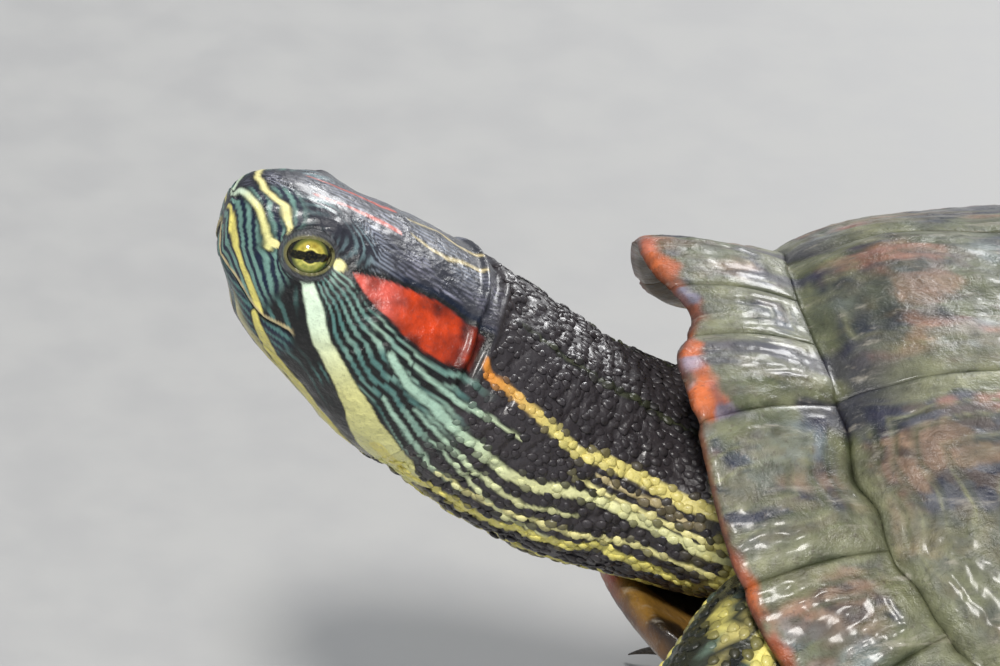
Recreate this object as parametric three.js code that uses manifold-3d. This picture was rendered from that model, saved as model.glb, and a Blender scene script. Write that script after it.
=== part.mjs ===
// Red-eared slider turtle, life size, as a still model in millimetres with +Z up.
// The animal faces -X and its left side is -Y. It is propped up on its front feet, with
// the back of the plastron and the hind feet on the floor, and holds its neck out.
import * as THREE from 'three';
import { mergeVertices } from 'three/addons/utils/BufferGeometryUtils.js';
import Module from 'manifold-3d';

const wasm = await Module();
wasm.setup();

// ---------------------------------------------------------------- driving dimensions
const GAP = 0.3; // clearance between neighbouring pieces
const PITCH = THREE.MathUtils.degToRad(17); // nose-up lean of the shell

const CARAPACE = {
  halfLength: 122.5,
  halfWidth: 92,
  roundness: 2.4, // exponent of the rim's superellipse
  rearSpread: 0.04, // the shell is a little wider behind its middle
  notchDepth: 7.5, // the nuchal sits back between the first marginals
  notchWidth: 12,
  frontRim: 8, // rim height over the neck
  sideRim: -24, // rim height along the bridge
  rearRim: -14,
  thickness: 4,
  rimThickness: 2.8,
};

// The seam between the marginals and the scutes of the dome.
const SEAM = {
  frontLength: 95,
  rearLength: 98,
  halfWidth: 79,
  roundness: 3,
  front: 12,
  side: -8,
  rear: 1,
};

const PLASTRON = { front: -114, rear: 106, bottom: -46, thickness: 6, lipRise: 3.5, notch: 8 };
const BRIDGE = { front: -46, rear: 50, thickness: 4.5 };

// The head's own frame: x forwards from the skin fold behind the head, z up.
const HEAD = { fold: [-155.9, 0, -10.9], pitch: THREE.MathUtils.degToRad(16), length: 42.4 };
const EYE = { forward: 31, side: 8.8, up: 8.5, radius: 4.3, orbit: 5.9 };
const SNOUT = { slant: 0.42, from: 31, level: 1.5 }; // the nose reaches further than the jaws

const FLOOR_CUT = 1.2; // how far the plastron's back edge is worn flat where it rests

// Each table runs from front to back (or root to tip) as [place, value].
const CROWN_LINE = [[-95, 12], [-89, 18], [-80, 23.5], [-62, 28.5], [-30, 39], [0, 43.5],
  [35, 42], [65, 34], [85, 19], [98, 1]];
const PLASTRON_HALF = [[-114, 27], [-100, 36], [-78, 43], [-58, 47], [-44, 56], [0, 59],
  [46, 56], [60, 48], [80, 44], [95, 36], [106, 25]];
const HEAD_TOP = [[0, 18.6], [13, 18.2], [24, 17.4], [31, 16.6], [35, 15.4], [38.5, 12.8],
  [41, 9.6], [42.4, 6.2]];
const HEAD_BOTTOM = [[0, -19.6], [8, -18.4], [17, -15.4], [26, -12.8], [32, -10.2], [36.6, -7.6],
  [40, -5], [42.4, -2.4]];
const HEAD_HALF = [[0, 20.8], [8, 20.4], [16, 18.8], [23, 16], [28.5, 13.6], [34, 11], [38, 8.4],
  [41, 5.6], [42.4, 3.2]];

// ---------------------------------------------------------------- small helpers
const clamp01 = (t) => Math.min(1, Math.max(0, t));
const lerp = (a, b, t) => a + (b - a) * t;
const smooth = (a, b, x) => {
  const t = clamp01((x - a) / (b - a));
  return t * t * (3 - 2 * t);
};
const signedPower = (x, p) => Math.sign(x) * Math.abs(x) ** p;
const radians = THREE.MathUtils.degToRad;

// A smooth curve through a table of [place, value] pairs.
function along(table, place) {
  const last = table.length - 1;
  if (place <= table[0][0]) return table[0][1];
  if (place >= table[last][0]) return table[last][1];
  let i = 0;
  while (place > table[i + 1][0]) i += 1;
  const slope = (k) => {
    const a = table[Math.max(0, k - 1)];
    const b = table[Math.min(last, k + 1)];
    return (b[1] - a[1]) / (b[0] - a[0]);
  };
  const [x0, y0] = table[i];
  const [x1, y1] = table[i + 1];
  const h = x1 - x0;
  const t = (place - x0) / h;
  const t2 = t * t;
  const t3 = t2 * t;
  return (2 * t3 - 3 * t2 + 1) * y0 + (t3 - 2 * t2 + t) * h * slope(i)
    + (3 * t2 - 2 * t3) * y1 + (t3 - t2) * h * slope(i + 1);
}

// Moves every vertex of a closed geometry class to the place that a function gives.
function movedSphere(sides, steps, place) {
  const geometry = new THREE.SphereGeometry(1, sides, steps);
  const { position, uv } = geometry.attributes;
  for (let i = 0; i < position.count; i += 1) {
    const p = place(uv.getX(i) * Math.PI * 2, 1 - uv.getY(i));
    position.setXYZ(i, p.x, p.y, p.z);
  }
  return solidOf(geometry);
}

function movedBox(na, nb, nc, place) {
  const geometry = new THREE.BoxGeometry(1, 1, 1, na, nb, nc);
  const { position } = geometry.attributes;
  for (let i = 0; i < position.count; i += 1) {
    const p = place(position.getX(i) + 0.5, position.getY(i) + 0.5, position.getZ(i) + 0.5);
    position.setXYZ(i, p.x, p.y, p.z);
  }
  return solidOf(geometry);
}

// A closed three.js geometry as a solid, turned the right way round if it is inside out.
function solidOf(geometry) {
  const bare = geometry.clone();
  bare.deleteAttribute('normal');
  bare.deleteAttribute('uv');
  const merged = mergeVertices(bare, 1e-4);
  const vertProperties = Float32Array.from(merged.attributes.position.array);
  const triVerts = Uint32Array.from(merged.index.array);
  if (signedVolume(vertProperties, triVerts) < 0) {
    for (let i = 0; i < triVerts.length; i += 3) {
      [triVerts[i], triVerts[i + 1]] = [triVerts[i + 1], triVerts[i]];
    }
  }
  return new wasm.Manifold(new wasm.Mesh({ numProp: 3, vertProperties, triVerts }));
}

function signedVolume(points, triangles) {
  const corner = (k) => new THREE.Vector3().fromArray(points, triangles[k] * 3);
  let volume = 0;
  for (let i = 0; i < triangles.length; i += 3) {
    volume += corner(i).dot(corner(i + 1).cross(corner(i + 2)));
  }
  return volume / 6;
}

function material(color, roughness) {
  return new THREE.MeshStandardMaterial({ color, roughness, metalness: 0 });
}

// A cut can leave loose slivers behind, so only the largest body is kept.
function mainBody(solid) {
  return solid.decompose().reduce((a, b) => (b.volume() > a.volume() ? b : a));
}

function nodeOf(name, solid, look) {
  const mesh = mainBody(solid).getMesh();
  const geometry = new THREE.BufferGeometry();
  geometry.setAttribute('position', new THREE.BufferAttribute(mesh.vertProperties, 3));
  geometry.setIndex(new THREE.BufferAttribute(mesh.triVerts, 1));
  geometry.computeVertexNormals();
  const node = new THREE.Mesh(geometry, look);
  node.name = name;
  return node;
}

const LOOKS = {
  scute: material(0x6f735c, 0.45),
  rim: material(0x7d6f57, 0.45),
  plastron: material(0xb58a3c, 0.4),
  skin: material(0x33352f, 0.55),
  eye: material(0xa9b43c, 0.1),
};

// ---------------------------------------------------------------- the shell's surfaces
// Angles run from 0 at the front through 90 at the side to 180 at the back.
function rimPoint(degrees, grow = 0) {
  const angle = radians(degrees);
  const power = 2 / CARAPACE.roundness;
  const x = -(CARAPACE.halfLength + grow) * signedPower(Math.cos(angle), power);
  const reach = (CARAPACE.halfWidth + grow) * signedPower(Math.sin(angle), power);
  const y = reach * (1 + (CARAPACE.rearSpread * x) / CARAPACE.halfLength);
  const ahead = smooth(0, 90, -x);
  const notch = ahead * CARAPACE.notchDepth * Math.exp(-((y / CARAPACE.notchWidth) ** 2));
  const end = lerp(CARAPACE.rearRim, CARAPACE.frontRim, ahead);
  const z = lerp(end, CARAPACE.sideRim, smooth(20, 72, Math.abs(y)));
  return new THREE.Vector3(x + notch, y, z);
}

function seamPlan(degrees, grow = 0) {
  const angle = radians(degrees);
  const power = 2 / SEAM.roundness;
  const length = Math.cos(angle) > 0 ? SEAM.frontLength : SEAM.rearLength;
  return new THREE.Vector2(
    -(length + grow) * signedPower(Math.cos(angle), power),
    (SEAM.halfWidth + grow) * signedPower(Math.sin(angle), power),
  );
}

function seamHalfWidth(x) {
  const length = x < 0 ? SEAM.frontLength : SEAM.rearLength;
  const r = Math.min(1, Math.abs(x) / length);
  return SEAM.halfWidth * (1 - r ** SEAM.roundness) ** (1 / SEAM.roundness);
}

// Height of the dome over a place in plan.
function domeHeight(x, y) {
  const half = Math.max(seamHalfWidth(x), 1);
  const end = x < 0 ? SEAM.front : SEAM.rear;
  const edge = lerp(end, SEAM.side, smooth(12, 68, half));
  const crown = along(CROWN_LINE, x);
  const across = Math.min(1, Math.abs(y) / half);
  return edge + (crown - edge) * (1 - across ** 2.2) ** 0.8;
}

const domePoint = (x, y) => new THREE.Vector3(x, y, domeHeight(x, y));

// The wall's thickness is measured towards a line deep in the body, so that scutes which
// meet at a seam keep the same gap all the way through.
function inwards(p, depth) {
  const core = new THREE.Vector3(0.6 * p.x, 0.45 * p.y, -40);
  return p.clone().add(core.sub(p).setLength(depth));
}

function marginalPoint(rimDegrees, seamDegrees, across, grow = 0) {
  const inner = seamPlan(seamDegrees);
  const p = domePoint(inner.x, inner.y).lerp(rimPoint(rimDegrees, grow), across);
  p.z += 1.5 * Math.sin(Math.PI * across);
  return p;
}

// ---------------------------------------------------------------- scutes
// Coons patch between four edge curves in plan: front, back, inner and outer.
function patch(front, back, inner, outer) {
  const corners = [front(0), front(1), back(0), back(1)];
  return (s, t) => {
    const p = new THREE.Vector2();
    p.addScaledVector(front(t), 1 - s);
    p.addScaledVector(back(t), s);
    p.addScaledVector(inner(s), 1 - t);
    p.addScaledVector(outer(s), t);
    p.addScaledVector(corners[0], -(1 - s) * (1 - t));
    p.addScaledVector(corners[1], -(1 - s) * t);
    p.addScaledVector(corners[2], -s * (1 - t));
    p.addScaledVector(corners[3], -s * t);
    return p;
  };
}

// A line with a bend at the share `bend` of its way.
function bent(points, bend) {
  const [a, b, c] = points.map(([x, y]) => new THREE.Vector2(x, y));
  return (t) => (t < bend ? a.clone().lerp(b, t / bend) : b.clone().lerp(c, (t - bend) / (1 - bend)));
}

const straight = (a, b) => bent([a, [(a[0] + b[0]) / 2, (a[1] + b[1]) / 2], b], 0.5);
const seamArc = (from, to) => (t) => seamPlan(lerp(from, to, t));
const plain = (v) => [v.x, v.y];

function scute(plan) {
  const inset = 0.0035; // half the gap, as a share of a scute's size
  return movedBox(4, 4, 1, (a, b, c) => {
    const s = lerp(inset, 1 - inset, a);
    const t = lerp(inset, 1 - inset, b);
    const p = plan(s, t);
    const top = domePoint(p.x, p.y);
    return c < 0.5 ? top : inwards(top, CARAPACE.thickness);
  });
}

const VERTEBRAL_SEAMS = [-52, -8, 36, 70]; // x of the seams between vertebrals
const VERTEBRAL_HALF = 24; // their half width at those seams
const PLEURAL_TIPS = [[-30, 33], [14, 33], [54, 29]]; // where pleural seams meet them
const PLEURAL_OUTER = [70, 93, 120]; // where pleural seams meet the marginals
const FRONT_CORNER = 9; // the first vertebral's front corner, on the marginal seam
const REAR_CORNER = 165;

function vertebral(index) {
  const frontX = VERTEBRAL_SEAMS[index - 1];
  const rearX = VERTEBRAL_SEAMS[index];
  const corner = (x, side) => [x, side * VERTEBRAL_HALF];
  const front = index === 0 ? seamArc(-FRONT_CORNER, FRONT_CORNER)
    : straight(corner(frontX, -1), corner(frontX, 1));
  const back = index === 4 ? seamArc(-REAR_CORNER - 0.001, -360 + REAR_CORNER)
    : straight(corner(rearX, -1), corner(rearX, 1));
  const edge = (side) => {
    const a = plain(front(side < 0 ? 0 : 1));
    const b = plain(back(side < 0 ? 0 : 1));
    const tip = PLEURAL_TIPS[index - 1];
    if (!tip) return straight(a, b);
    return bent([a, [tip[0], side * tip[1]], b], (tip[0] - a[0]) / (b[0] - a[0]));
  };
  return scute(patch(front, back, edge(-1), edge(1)));
}

function pleural(index, side) {
  const seam = VERTEBRAL_SEAMS[index];
  const start = index === 0 ? plain(seamPlan(FRONT_CORNER)) : PLEURAL_TIPS[index - 1];
  const stop = index === 3 ? plain(seamPlan(REAR_CORNER)) : PLEURAL_TIPS[index];
  const from = index === 0 ? 30 : PLEURAL_OUTER[index - 1];
  const to = index === 3 ? 150 : PLEURAL_OUTER[index];
  const flip = ([x, y]) => [x, side * y];
  const bend = (seam - start[0]) / (stop[0] - start[0]);
  const inner = bent([start, [seam, VERTEBRAL_HALF], stop].map(flip), bend);
  const arc = (a, b) => seamArc(side * a, side * b);
  const outer = arc(from, to);
  const front = index === 0 ? arc(FRONT_CORNER, 30)
    : straight(flip(start), plain(outer(0)));
  const back = index === 3 ? arc(REAR_CORNER, 150) : straight(flip(stop), plain(outer(1)));
  return scute(patch(front, back, inner, outer));
}

// Angles of the seams between marginals, at the rim and at the dome's edge.
// The last ones run a hair past 180, which keeps the gap on the midline narrow.
const RIM_SEAMS = [3.5, 16.2, 31, 45, 59, 72.5, 86, 99.5, 113, 127, 142, 160, 180.09];
const INNER_SEAMS = [1.6, 9.4, 28.3, 44, 58.5, 72.3, 86, 99.5, 113.2, 128, 144, 162, 180.1];

function marginalBetween(rimFrom, rimTo, innerFrom, innerTo, side, grow = 0) {
  const share = grow > 0 ? 0 : 0.0058; // half the gap, as a share of a marginal's length
  const steps = Math.max(3, Math.ceil((rimTo - rimFrom) / 6));
  return movedBox(steps, 2, 1, (a, b, c) => {
    const t = lerp(share, 1 - share, a);
    const across = lerp(grow > 0 ? -0.05 : 0.009, 1, b);
    const top = marginalPoint(
      side * lerp(rimFrom, rimTo, t),
      side * lerp(innerFrom, innerTo, t),
      across,
      grow,
    );
    if (c < 0.5) return grow > 0 ? inwards(top, -grow) : top;
    return inwards(top, lerp(CARAPACE.thickness, CARAPACE.rimThickness, b) + grow);
  });
}

// ---------------------------------------------------------------- plastron and bridges
function plastron(grow = 0) {
  return movedBox(14, 6, 1, (a, b, c) => {
    const share = 2 * b - 1;
    const x = lerp(PLASTRON.front - grow, PLASTRON.rear + grow, a);
    const y = share * (along(PLASTRON_HALF, x) + grow);
    const frontRound = (1 - smooth(0, 0.2, a)) * 7 * share ** 2;
    const rearNotch = smooth(0.85, 1, a) * PLASTRON.notch * Math.exp(-((y / 9) ** 2));
    const rearRound = smooth(0.85, 1, a) * 6 * share ** 2;
    const lip = PLASTRON.lipRise * (1 - smooth(-114, -96, x)) + 1.5 * share ** 4;
    const z = c < 0.5 ? PLASTRON.bottom + PLASTRON.thickness + grow : PLASTRON.bottom - grow;
    return new THREE.Vector3(x + frontRound - rearNotch - rearRound, y, z + lip);
  });
}

// A curved wall from the plastron's edge up to the marginals over it.
function bridge(side, grow = 0) {
  return movedBox(5, 4, 1, (a, b, c) => {
    const x = lerp(BRIDGE.front - grow, BRIDGE.rear + grow, a);
    const foot = along(PLASTRON_HALF, x) - 3;
    const rise = Math.sin((b * Math.PI) / 2);
    const out = lerp(foot, 84, 1 - Math.cos((b * Math.PI) / 2) * (1 - 0.35 * rise));
    const depth = (c < 0.5 ? -grow : BRIDGE.thickness + grow);
    const lean = b * Math.PI * 0.28;
    const z = lerp(PLASTRON.bottom + 1.2, -17, b ** 1.25);
    return new THREE.Vector3(x, side * (out - depth * Math.sin(lean)), z + depth * Math.cos(lean));
  });
}

// ---------------------------------------------------------------- flesh
// A tube through stations [centre, half width, half height]; the section stays upright.
function limb(stations, { sides = 16, steps = 12, grow = 0, upright = [0, 0, 1] } = {}) {
  const path = new THREE.CatmullRomCurve3(stations.map(([p]) => new THREE.Vector3(...p)));
  const table = (k) => stations.map((station, i) => [i / (stations.length - 1), station[k]]);
  const widths = table(1);
  const heights = table(2);
  const lift = new THREE.Vector3(...upright);
  return movedSphere(sides, steps, (turn, v) => {
    const capped = clamp01((v * steps - 1) / (steps - 2));
    const inside = v > 1e-6 && v < 1 - 1e-6;
    const centre = path.getPoint(capped);
    const tangent = path.getTangent(capped);
    const across = new THREE.Vector3().crossVectors(lift, tangent).normalize();
    const up = new THREE.Vector3().crossVectors(tangent, across).normalize();
    if (!inside) return centre.addScaledVector(tangent, v < 0.5 ? -grow : grow);
    centre.addScaledVector(across, Math.cos(turn) * (along(widths, capped) + grow));
    return centre.addScaledVector(up, Math.sin(turn) * (along(heights, capped) + grow));
  });
}

const NECK_STATIONS = [
  [[-155.6, 0, -11.4], 20.9, 19],
  [[-148, 0, -14.2], 21.5, 19.6],
  [[-135, 0, -18.8], 21.2, 19.4],
  [[-120, 0, -22.4], 21.6, 18.6],
  [[-104, 0, -22.4], 25, 17.5],
  [[-84, 0, -18], 34, 23],
];

// Rotates a point or a solid from the shell's own frame into the leaning stance.
const bodyTurn = new THREE.Matrix4().makeRotationY(PITCH);
const restHeight = -new THREE.Vector3(98, 0, PLASTRON.bottom).applyMatrix4(bodyTurn).z - FLOOR_CUT;
const bodyPlace = new THREE.Matrix4().makeTranslation(0, 0, restHeight).multiply(bodyTurn);
const stand = (solid) => solid.transform(bodyPlace.elements);
const standing = (x, y, z) => new THREE.Vector3(x, y, z).applyMatrix4(bodyPlace).toArray();

// Legs are built where they stand. `upright` is the direction that a leg's own section keeps.
const LEGS = {
  front_left: {
    upright: [0.35, -0.82, 0.35],
    upper: [
      [standing(-70, -30, -20), 15, 15],
      [standing(-88, -40, -25), 16, 15],
      [standing(-101, -52, -34), 14, 14],
      [[-110, -66, 56], 12.5, 12.5],
      [[-107, -72, 44], 11.5, 11.5],
    ],
    lower: [[[-106.5, -73, 42], 11.4, 11.4], [[-103, -77, 28], 10.5, 9.5],
      [[-104, -79, 8.5], 9.5, 8]],
    ankle: [-104, -79, 9],
    toes: 196,
  },
  front_right: {
    upright: [0.35, 0.82, 0.35],
    upper: [
      [standing(-68, 30, -20), 15, 15],
      [standing(-78, 40, -25), 15, 14],
      [[-79, 50, 62], 13.5, 13.5],
      [[-76, 55, 50], 12, 12],
      [[-71, 57, 42], 11.5, 11.5],
    ],
    lower: [[[-70.6, 57.2, 40], 11.4, 11.4], [[-64, 58, 27], 10.5, 9.5], [[-62, 58, 8.5], 9.5, 8]],
    ankle: [-62, 58, 9],
    toes: 168,
  },
  hind_left: {
    upright: [0, 0, 1],
    upper: [
      [[60, -28, 27], 14, 12],
      [[58, -44, 21], 14, 12],
      [[55, -58, 17], 14, 12.5],
      [[56, -69, 15], 13, 12],
    ],
    lower: [[[57, -71, 15], 12.8, 12], [[68, -80, 13], 11, 10.5], [[82, -88, 11], 9.5, 8.5]],
    ankle: [84, -89, 8.5],
    toes: -30,
  },
  hind_right: {
    upright: [0, 0, 1],
    upper: [
      [[60, 28, 27], 14, 12],
      [[56, 44, 21], 14, 12],
      [[52, 58, 17], 14, 12.5],
      [[52, 69, 15], 13, 12],
    ],
    lower: [[[53, 71, 15], 12.8, 12], [[62, 82, 13], 11, 10.5], [[74, 93, 11], 9.5, 8.5]],
    ankle: [76, 94.5, 8.5],
    toes: 38,
  },
};

const FOOT = { width: 15, length: 15, toe: 23, claw: 9, spread: 17.3, count: 5, web: 1.8 };

// Toes fan out from the palm; the middle one is the longest. Points are [forwards, sideways].
const middleToe = (FOOT.count - 1) / 2;
const toeReach = (i) => FOOT.toe - 2.5 * Math.abs(i - middleToe);
function toePoint(i, distance) {
  const fan = radians((i - middleToe) * FOOT.spread);
  return [6 + Math.cos(fan) * distance, (i - middleToe) * 3.4 + Math.sin(fan) * distance];
}

// The web runs from toe to toe, drawn in a little between them.
function webOutline() {
  const points = [[0, -9]];
  for (let i = 0; i < FOOT.count; i += 1) {
    if (i > 0) points.push(toePoint(i - 0.5, toeReach(i - 0.5) * 0.66));
    points.push(toePoint(i, toeReach(i) * 0.85));
  }
  points.push([0, 9]);
  return new THREE.Shape(points.map(([f, s]) => new THREE.Vector2(f, s)));
}

// A webbed foot: a flat palm with five toes that end in claws, cut level with the floor.
function foot(leg) {
  const [ax, ay, az] = leg.ankle;
  const heading = radians(leg.toes);
  const forward = new THREE.Vector3(Math.cos(heading), Math.sin(heading), 0);
  const across = new THREE.Vector3(-forward.y, forward.x, 0);
  const place = (f, s, z) => new THREE.Vector3(ax, ay, 0)
    .addScaledVector(forward, f).addScaledVector(across, s).setZ(z);
  let solid = movedSphere(8, 6, (turn, v) => {
    const ring = Math.sin(Math.PI * v);
    const f = 6 - Math.cos(Math.PI * v) * FOOT.length;
    const wide = (0.7 + 0.3 * v) * FOOT.width;
    const high = lerp(az, 4.5, v);
    return place(f, ring * Math.cos(turn) * wide, lerp(az - 1.5, 2.4, v) + ring * Math.sin(turn) * high);
  });
  for (let i = 0; i < FOOT.count; i += 1) {
    const reach = toeReach(i);
    const at = (d, z) => {
      const [f, s] = toePoint(i, d);
      return place(f, s, z).toArray();
    };
    const toe = limb([[at(0, 4.5), 3.6, 3.4], [at(reach * 0.5, 3.8), 3, 2.8],
      [at(reach, 2.8), 2, 2], [at(reach + FOOT.claw * 0.5, 2.4), 1.2, 1.3],
      [at(reach + FOOT.claw, 0.8), 0.4, 0.5]], { sides: 5, steps: 5 });
    solid = solid.add(toe);
  }
  const web = new THREE.ExtrudeGeometry(webOutline(), { depth: FOOT.web, bevelEnabled: false });
  web.rotateZ(heading);
  web.translate(ax, ay, 0.8);
  return solid.add(solidOf(web));
}

function slab(level, depth) {
  const box = new THREE.BoxGeometry(600, 600, depth);
  box.translate(0, 0, level - depth / 2);
  return solidOf(box);
}

// ---------------------------------------------------------------- head
function headSection(turn, forward, grow) {
  const top = along(HEAD_TOP, forward);
  const bottom = along(HEAD_BOTTOM, forward);
  const half = along(HEAD_HALF, forward);
  const middle = (top + bottom) / 2;
  const y = (half + grow) * signedPower(Math.cos(turn), 0.92);
  const z = middle + ((top - bottom) / 2 + grow) * signedPower(Math.sin(turn), 0.95);
  const slant = SNOUT.slant * smooth(SNOUT.from, HEAD.length, forward) * (z - SNOUT.level);
  return new THREE.Vector3(forward + slant, y, z);
}

// Half the steps are spent on the front third, where the snout turns down.
function headForward(v) {
  return HEAD.length * (1 - (1 - v) ** 1.35);
}

function wholeHead(grow = 0) {
  const steps = 16;
  return movedSphere(18, steps, (turn, v) => {
    const share = clamp01((v * steps - 1) / (steps - 2));
    const forward = headForward(share);
    if (v < 1e-6 || v > 1 - 1e-6) {
      const level = v < 0.5 ? 0 : (along(HEAD_TOP, forward) + along(HEAD_BOTTOM, forward)) / 2;
      const slant = v < 0.5 ? 0 : SNOUT.slant * (level - SNOUT.level);
      return new THREE.Vector3(forward + slant + (v < 0.5 ? -grow : grow + 0.3), 0, level);
    }
    const p = headSection(turn, forward, grow);
    if (share === 0) p.x -= grow;
    return p;
  });
}

function ball(radius, x, y, z, sides = 12) {
  const geometry = new THREE.SphereGeometry(radius, sides, Math.round(sides / 2));
  geometry.translate(x, y, z);
  return solidOf(geometry);
}

// The lower jaw's side outline: along the mouth line, then down behind its corner.
function jawBlock(grow) {
  const outline = new THREE.Shape();
  outline.moveTo(52, -1.1 + grow);
  outline.lineTo(42, -1.3 + grow);
  outline.quadraticCurveTo(37, -2.2 + grow, 31.5, -4.6 + grow);
  outline.lineTo(27 - grow, -4 + grow);
  outline.lineTo(23.5 - grow, -8);
  outline.lineTo(21 - grow, -24);
  outline.lineTo(52, -24);
  const block = new THREE.ExtrudeGeometry(outline, { depth: 50, bevelEnabled: false, curveSegments: 5 });
  block.rotateX(Math.PI / 2);
  block.translate(0, 25, 0);
  return solidOf(block);
}

// Puts a piece from the head's frame (x forwards) into the shell's frame.
const headPlace = new THREE.Matrix4().makeTranslation(...HEAD.fold)
  .multiply(new THREE.Matrix4().makeRotationY(HEAD.pitch))
  .multiply(new THREE.Matrix4().makeRotationZ(Math.PI));
const onHead = (solid) => stand(solid.transform(headPlace.elements));

// ---------------------------------------------------------------- assembly
const turtle = new THREE.Group();
const put = (name, solid, look) => turtle.add(nodeOf(name, solid, look));

for (let i = 0; i < 5; i += 1) put(`vertebral_${i + 1}`, stand(vertebral(i)), LOOKS.scute);
for (const [label, side] of [['left', -1], ['right', 1]]) {
  for (let i = 0; i < 4; i += 1) put(`pleural_${label}_${i + 1}`, stand(pleural(i, side)), LOOKS.scute);
  for (let i = 0; i < 12; i += 1) {
    const piece = marginalBetween(RIM_SEAMS[i], RIM_SEAMS[i + 1], INNER_SEAMS[i], INNER_SEAMS[i + 1], side);
    put(`marginal_${label}_${i + 1}`, stand(piece), LOOKS.rim);
  }
}
put('nuchal', stand(marginalBetween(-RIM_SEAMS[0], RIM_SEAMS[0], -INNER_SEAMS[0], INNER_SEAMS[0], 1)), LOOKS.rim);

// The shell as a whole, grown by the gap, cuts everything that lives inside it.
const dome = movedSphere(32, 12, (turn, v) => {
  const under = v > 0.5;
  const r = Math.sin(Math.PI * v);
  const degrees = THREE.MathUtils.radToDeg(turn);
  const p = seamPlan(degrees, 0.4).multiplyScalar(r);
  const top = domePoint(p.x, p.y);
  return under ? inwards(top, CARAPACE.thickness + GAP) : inwards(top, -GAP);
});
const ring = (side) => marginalBetween(-0.5, 180.5, -0.5, 180.5, side, GAP);
const carapaceCutter = stand(dome.add(ring(1)).add(ring(-1)));
const plastronCutter = stand(plastron(GAP));
const bridges = [-1, 1].map((side) => stand(bridge(side)));
const bridgeCutters = [-1, 1].map((side) => stand(bridge(side, GAP)));
const floor = slab(0, 60);

put('plastron', stand(plastron()).subtract(floor), LOOKS.plastron);
['bridge_left', 'bridge_right'].forEach((name, i) => {
  put(name, bridges[i].subtract(carapaceCutter).subtract(plastronCutter), LOOKS.plastron);
});

function clearOfShell(solid) {
  return [carapaceCutter, plastronCutter, ...bridgeCutters, floor]
    .reduce((rest, cutter) => rest.subtract(cutter), solid);
}

const neck = stand(limb(NECK_STATIONS, { sides: 18, steps: 10 }));
const neckCutter = stand(limb(NECK_STATIONS, { sides: 18, steps: 10, grow: GAP }));
put('neck', clearOfShell(neck.subtract(onHead(wholeHead(GAP)))), LOOKS.skin);

const tailStations = [[standing(84, 0, -27), 12, 8.5], [standing(104, 1, -26), 9, 6.5],
  [[112, 6, 12], 6, 5], [[124, 16, 7.5], 4.2, 4], [[131, 27, 4.5], 2.4, 2.6], [[133, 35, 2.5], 1.2, 1.5]];
put('tail', clearOfShell(limb(tailStations, { sides: 10, steps: 11 })), LOOKS.skin);
const cutters = [neckCutter, limb(tailStations, { sides: 10, steps: 11, grow: GAP })];

for (const [name, leg] of Object.entries(LEGS)) {
  const upperShape = { sides: 10, steps: 8, upright: leg.upright };
  const lowerShape = { sides: 10, steps: 5, upright: leg.upright };
  const upper = limb(leg.upper, upperShape);
  const upperCutter = limb(leg.upper, { ...upperShape, grow: GAP });
  const lower = limb(leg.lower, lowerShape);
  const lowerCutter = limb(leg.lower, { ...lowerShape, grow: GAP });
  cutters.push(upperCutter);
  put(`leg_${name}_upper`, clearOfShell(upper.subtract(neckCutter)), LOOKS.skin);
  put(`leg_${name}_lower`, clearOfShell(lower.subtract(upperCutter)), LOOKS.skin);
  put(`foot_${name}`, foot(leg).subtract(lowerCutter).subtract(floor), LOOKS.skin);
}

// The trunk fills the shell up to the roots of the neck, legs and tail.
const trunk = movedSphere(24, 8, (turn, v) => {
  const r = Math.sin(Math.PI * v) * 0.985;
  const p = seamPlan(THREE.MathUtils.radToDeg(turn)).multiplyScalar(r);
  const top = inwards(domePoint(p.x, p.y), CARAPACE.thickness + 1.5);
  if (v <= 0.5) return top;
  return new THREE.Vector3(top.x, top.y, lerp(top.z, -38.8, 1 - r ** 3));
});
put('trunk', cutters.reduce((rest, cutter) => rest.subtract(cutter), stand(trunk)), LOOKS.skin);

const orbits = [-1, 1].map((side) => ball(EYE.orbit, EYE.forward - 0.3, side * (EYE.side - 1.6), EYE.up - 0.2));
const sockets = [-1, 1].map((side) => ball(EYE.radius + GAP, EYE.forward, side * EYE.side, EYE.up));
const skull = sockets.reduce((rest, hole) => rest.subtract(hole), orbits.reduce((a, b) => a.add(b), wholeHead()));
const jaw = wholeHead().intersect(jawBlock(0));
put('head', onHead(skull.subtract(jawBlock(GAP))), LOOKS.skin);
put('lower_jaw', onHead(jaw), LOOKS.skin);
[['eye_left', 1], ['eye_right', -1]].forEach(([name, side]) => {
  put(name, onHead(ball(EYE.radius, EYE.forward, side * EYE.side, EYE.up)), LOOKS.eye);
});

// The origin is under the middle of the whole model, on the floor.
const box = new THREE.Box3().setFromObject(turtle);
const middle = box.getCenter(new THREE.Vector3());
turtle.position.set(-middle.x, -middle.y, -box.min.z);

export default turtle;
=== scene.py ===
# %% [markdown]
# # A red-eared slider, life size
#
# This scene dresses a solid model of a red-eared slider turtle. The solids already give
# the size and the stance. What they lack is what makes a turtle look alive: growth marks
# on the horny plates, wrinkled beaded skin, lids, stripes and wet eyes.
#
# There are several ways to add these. One could sculpt by hand, or project pictures.
# Here every form comes from a few measured lines and a rule, so that it can be changed
# later by changing a number. All lengths in the script are millimetres until a mesh is made.

# %% Load the solid model and measure it
import math

import bpy
import numpy as np
from mathutils import Matrix, Vector
from mathutils.kdtree import KDTree


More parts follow.
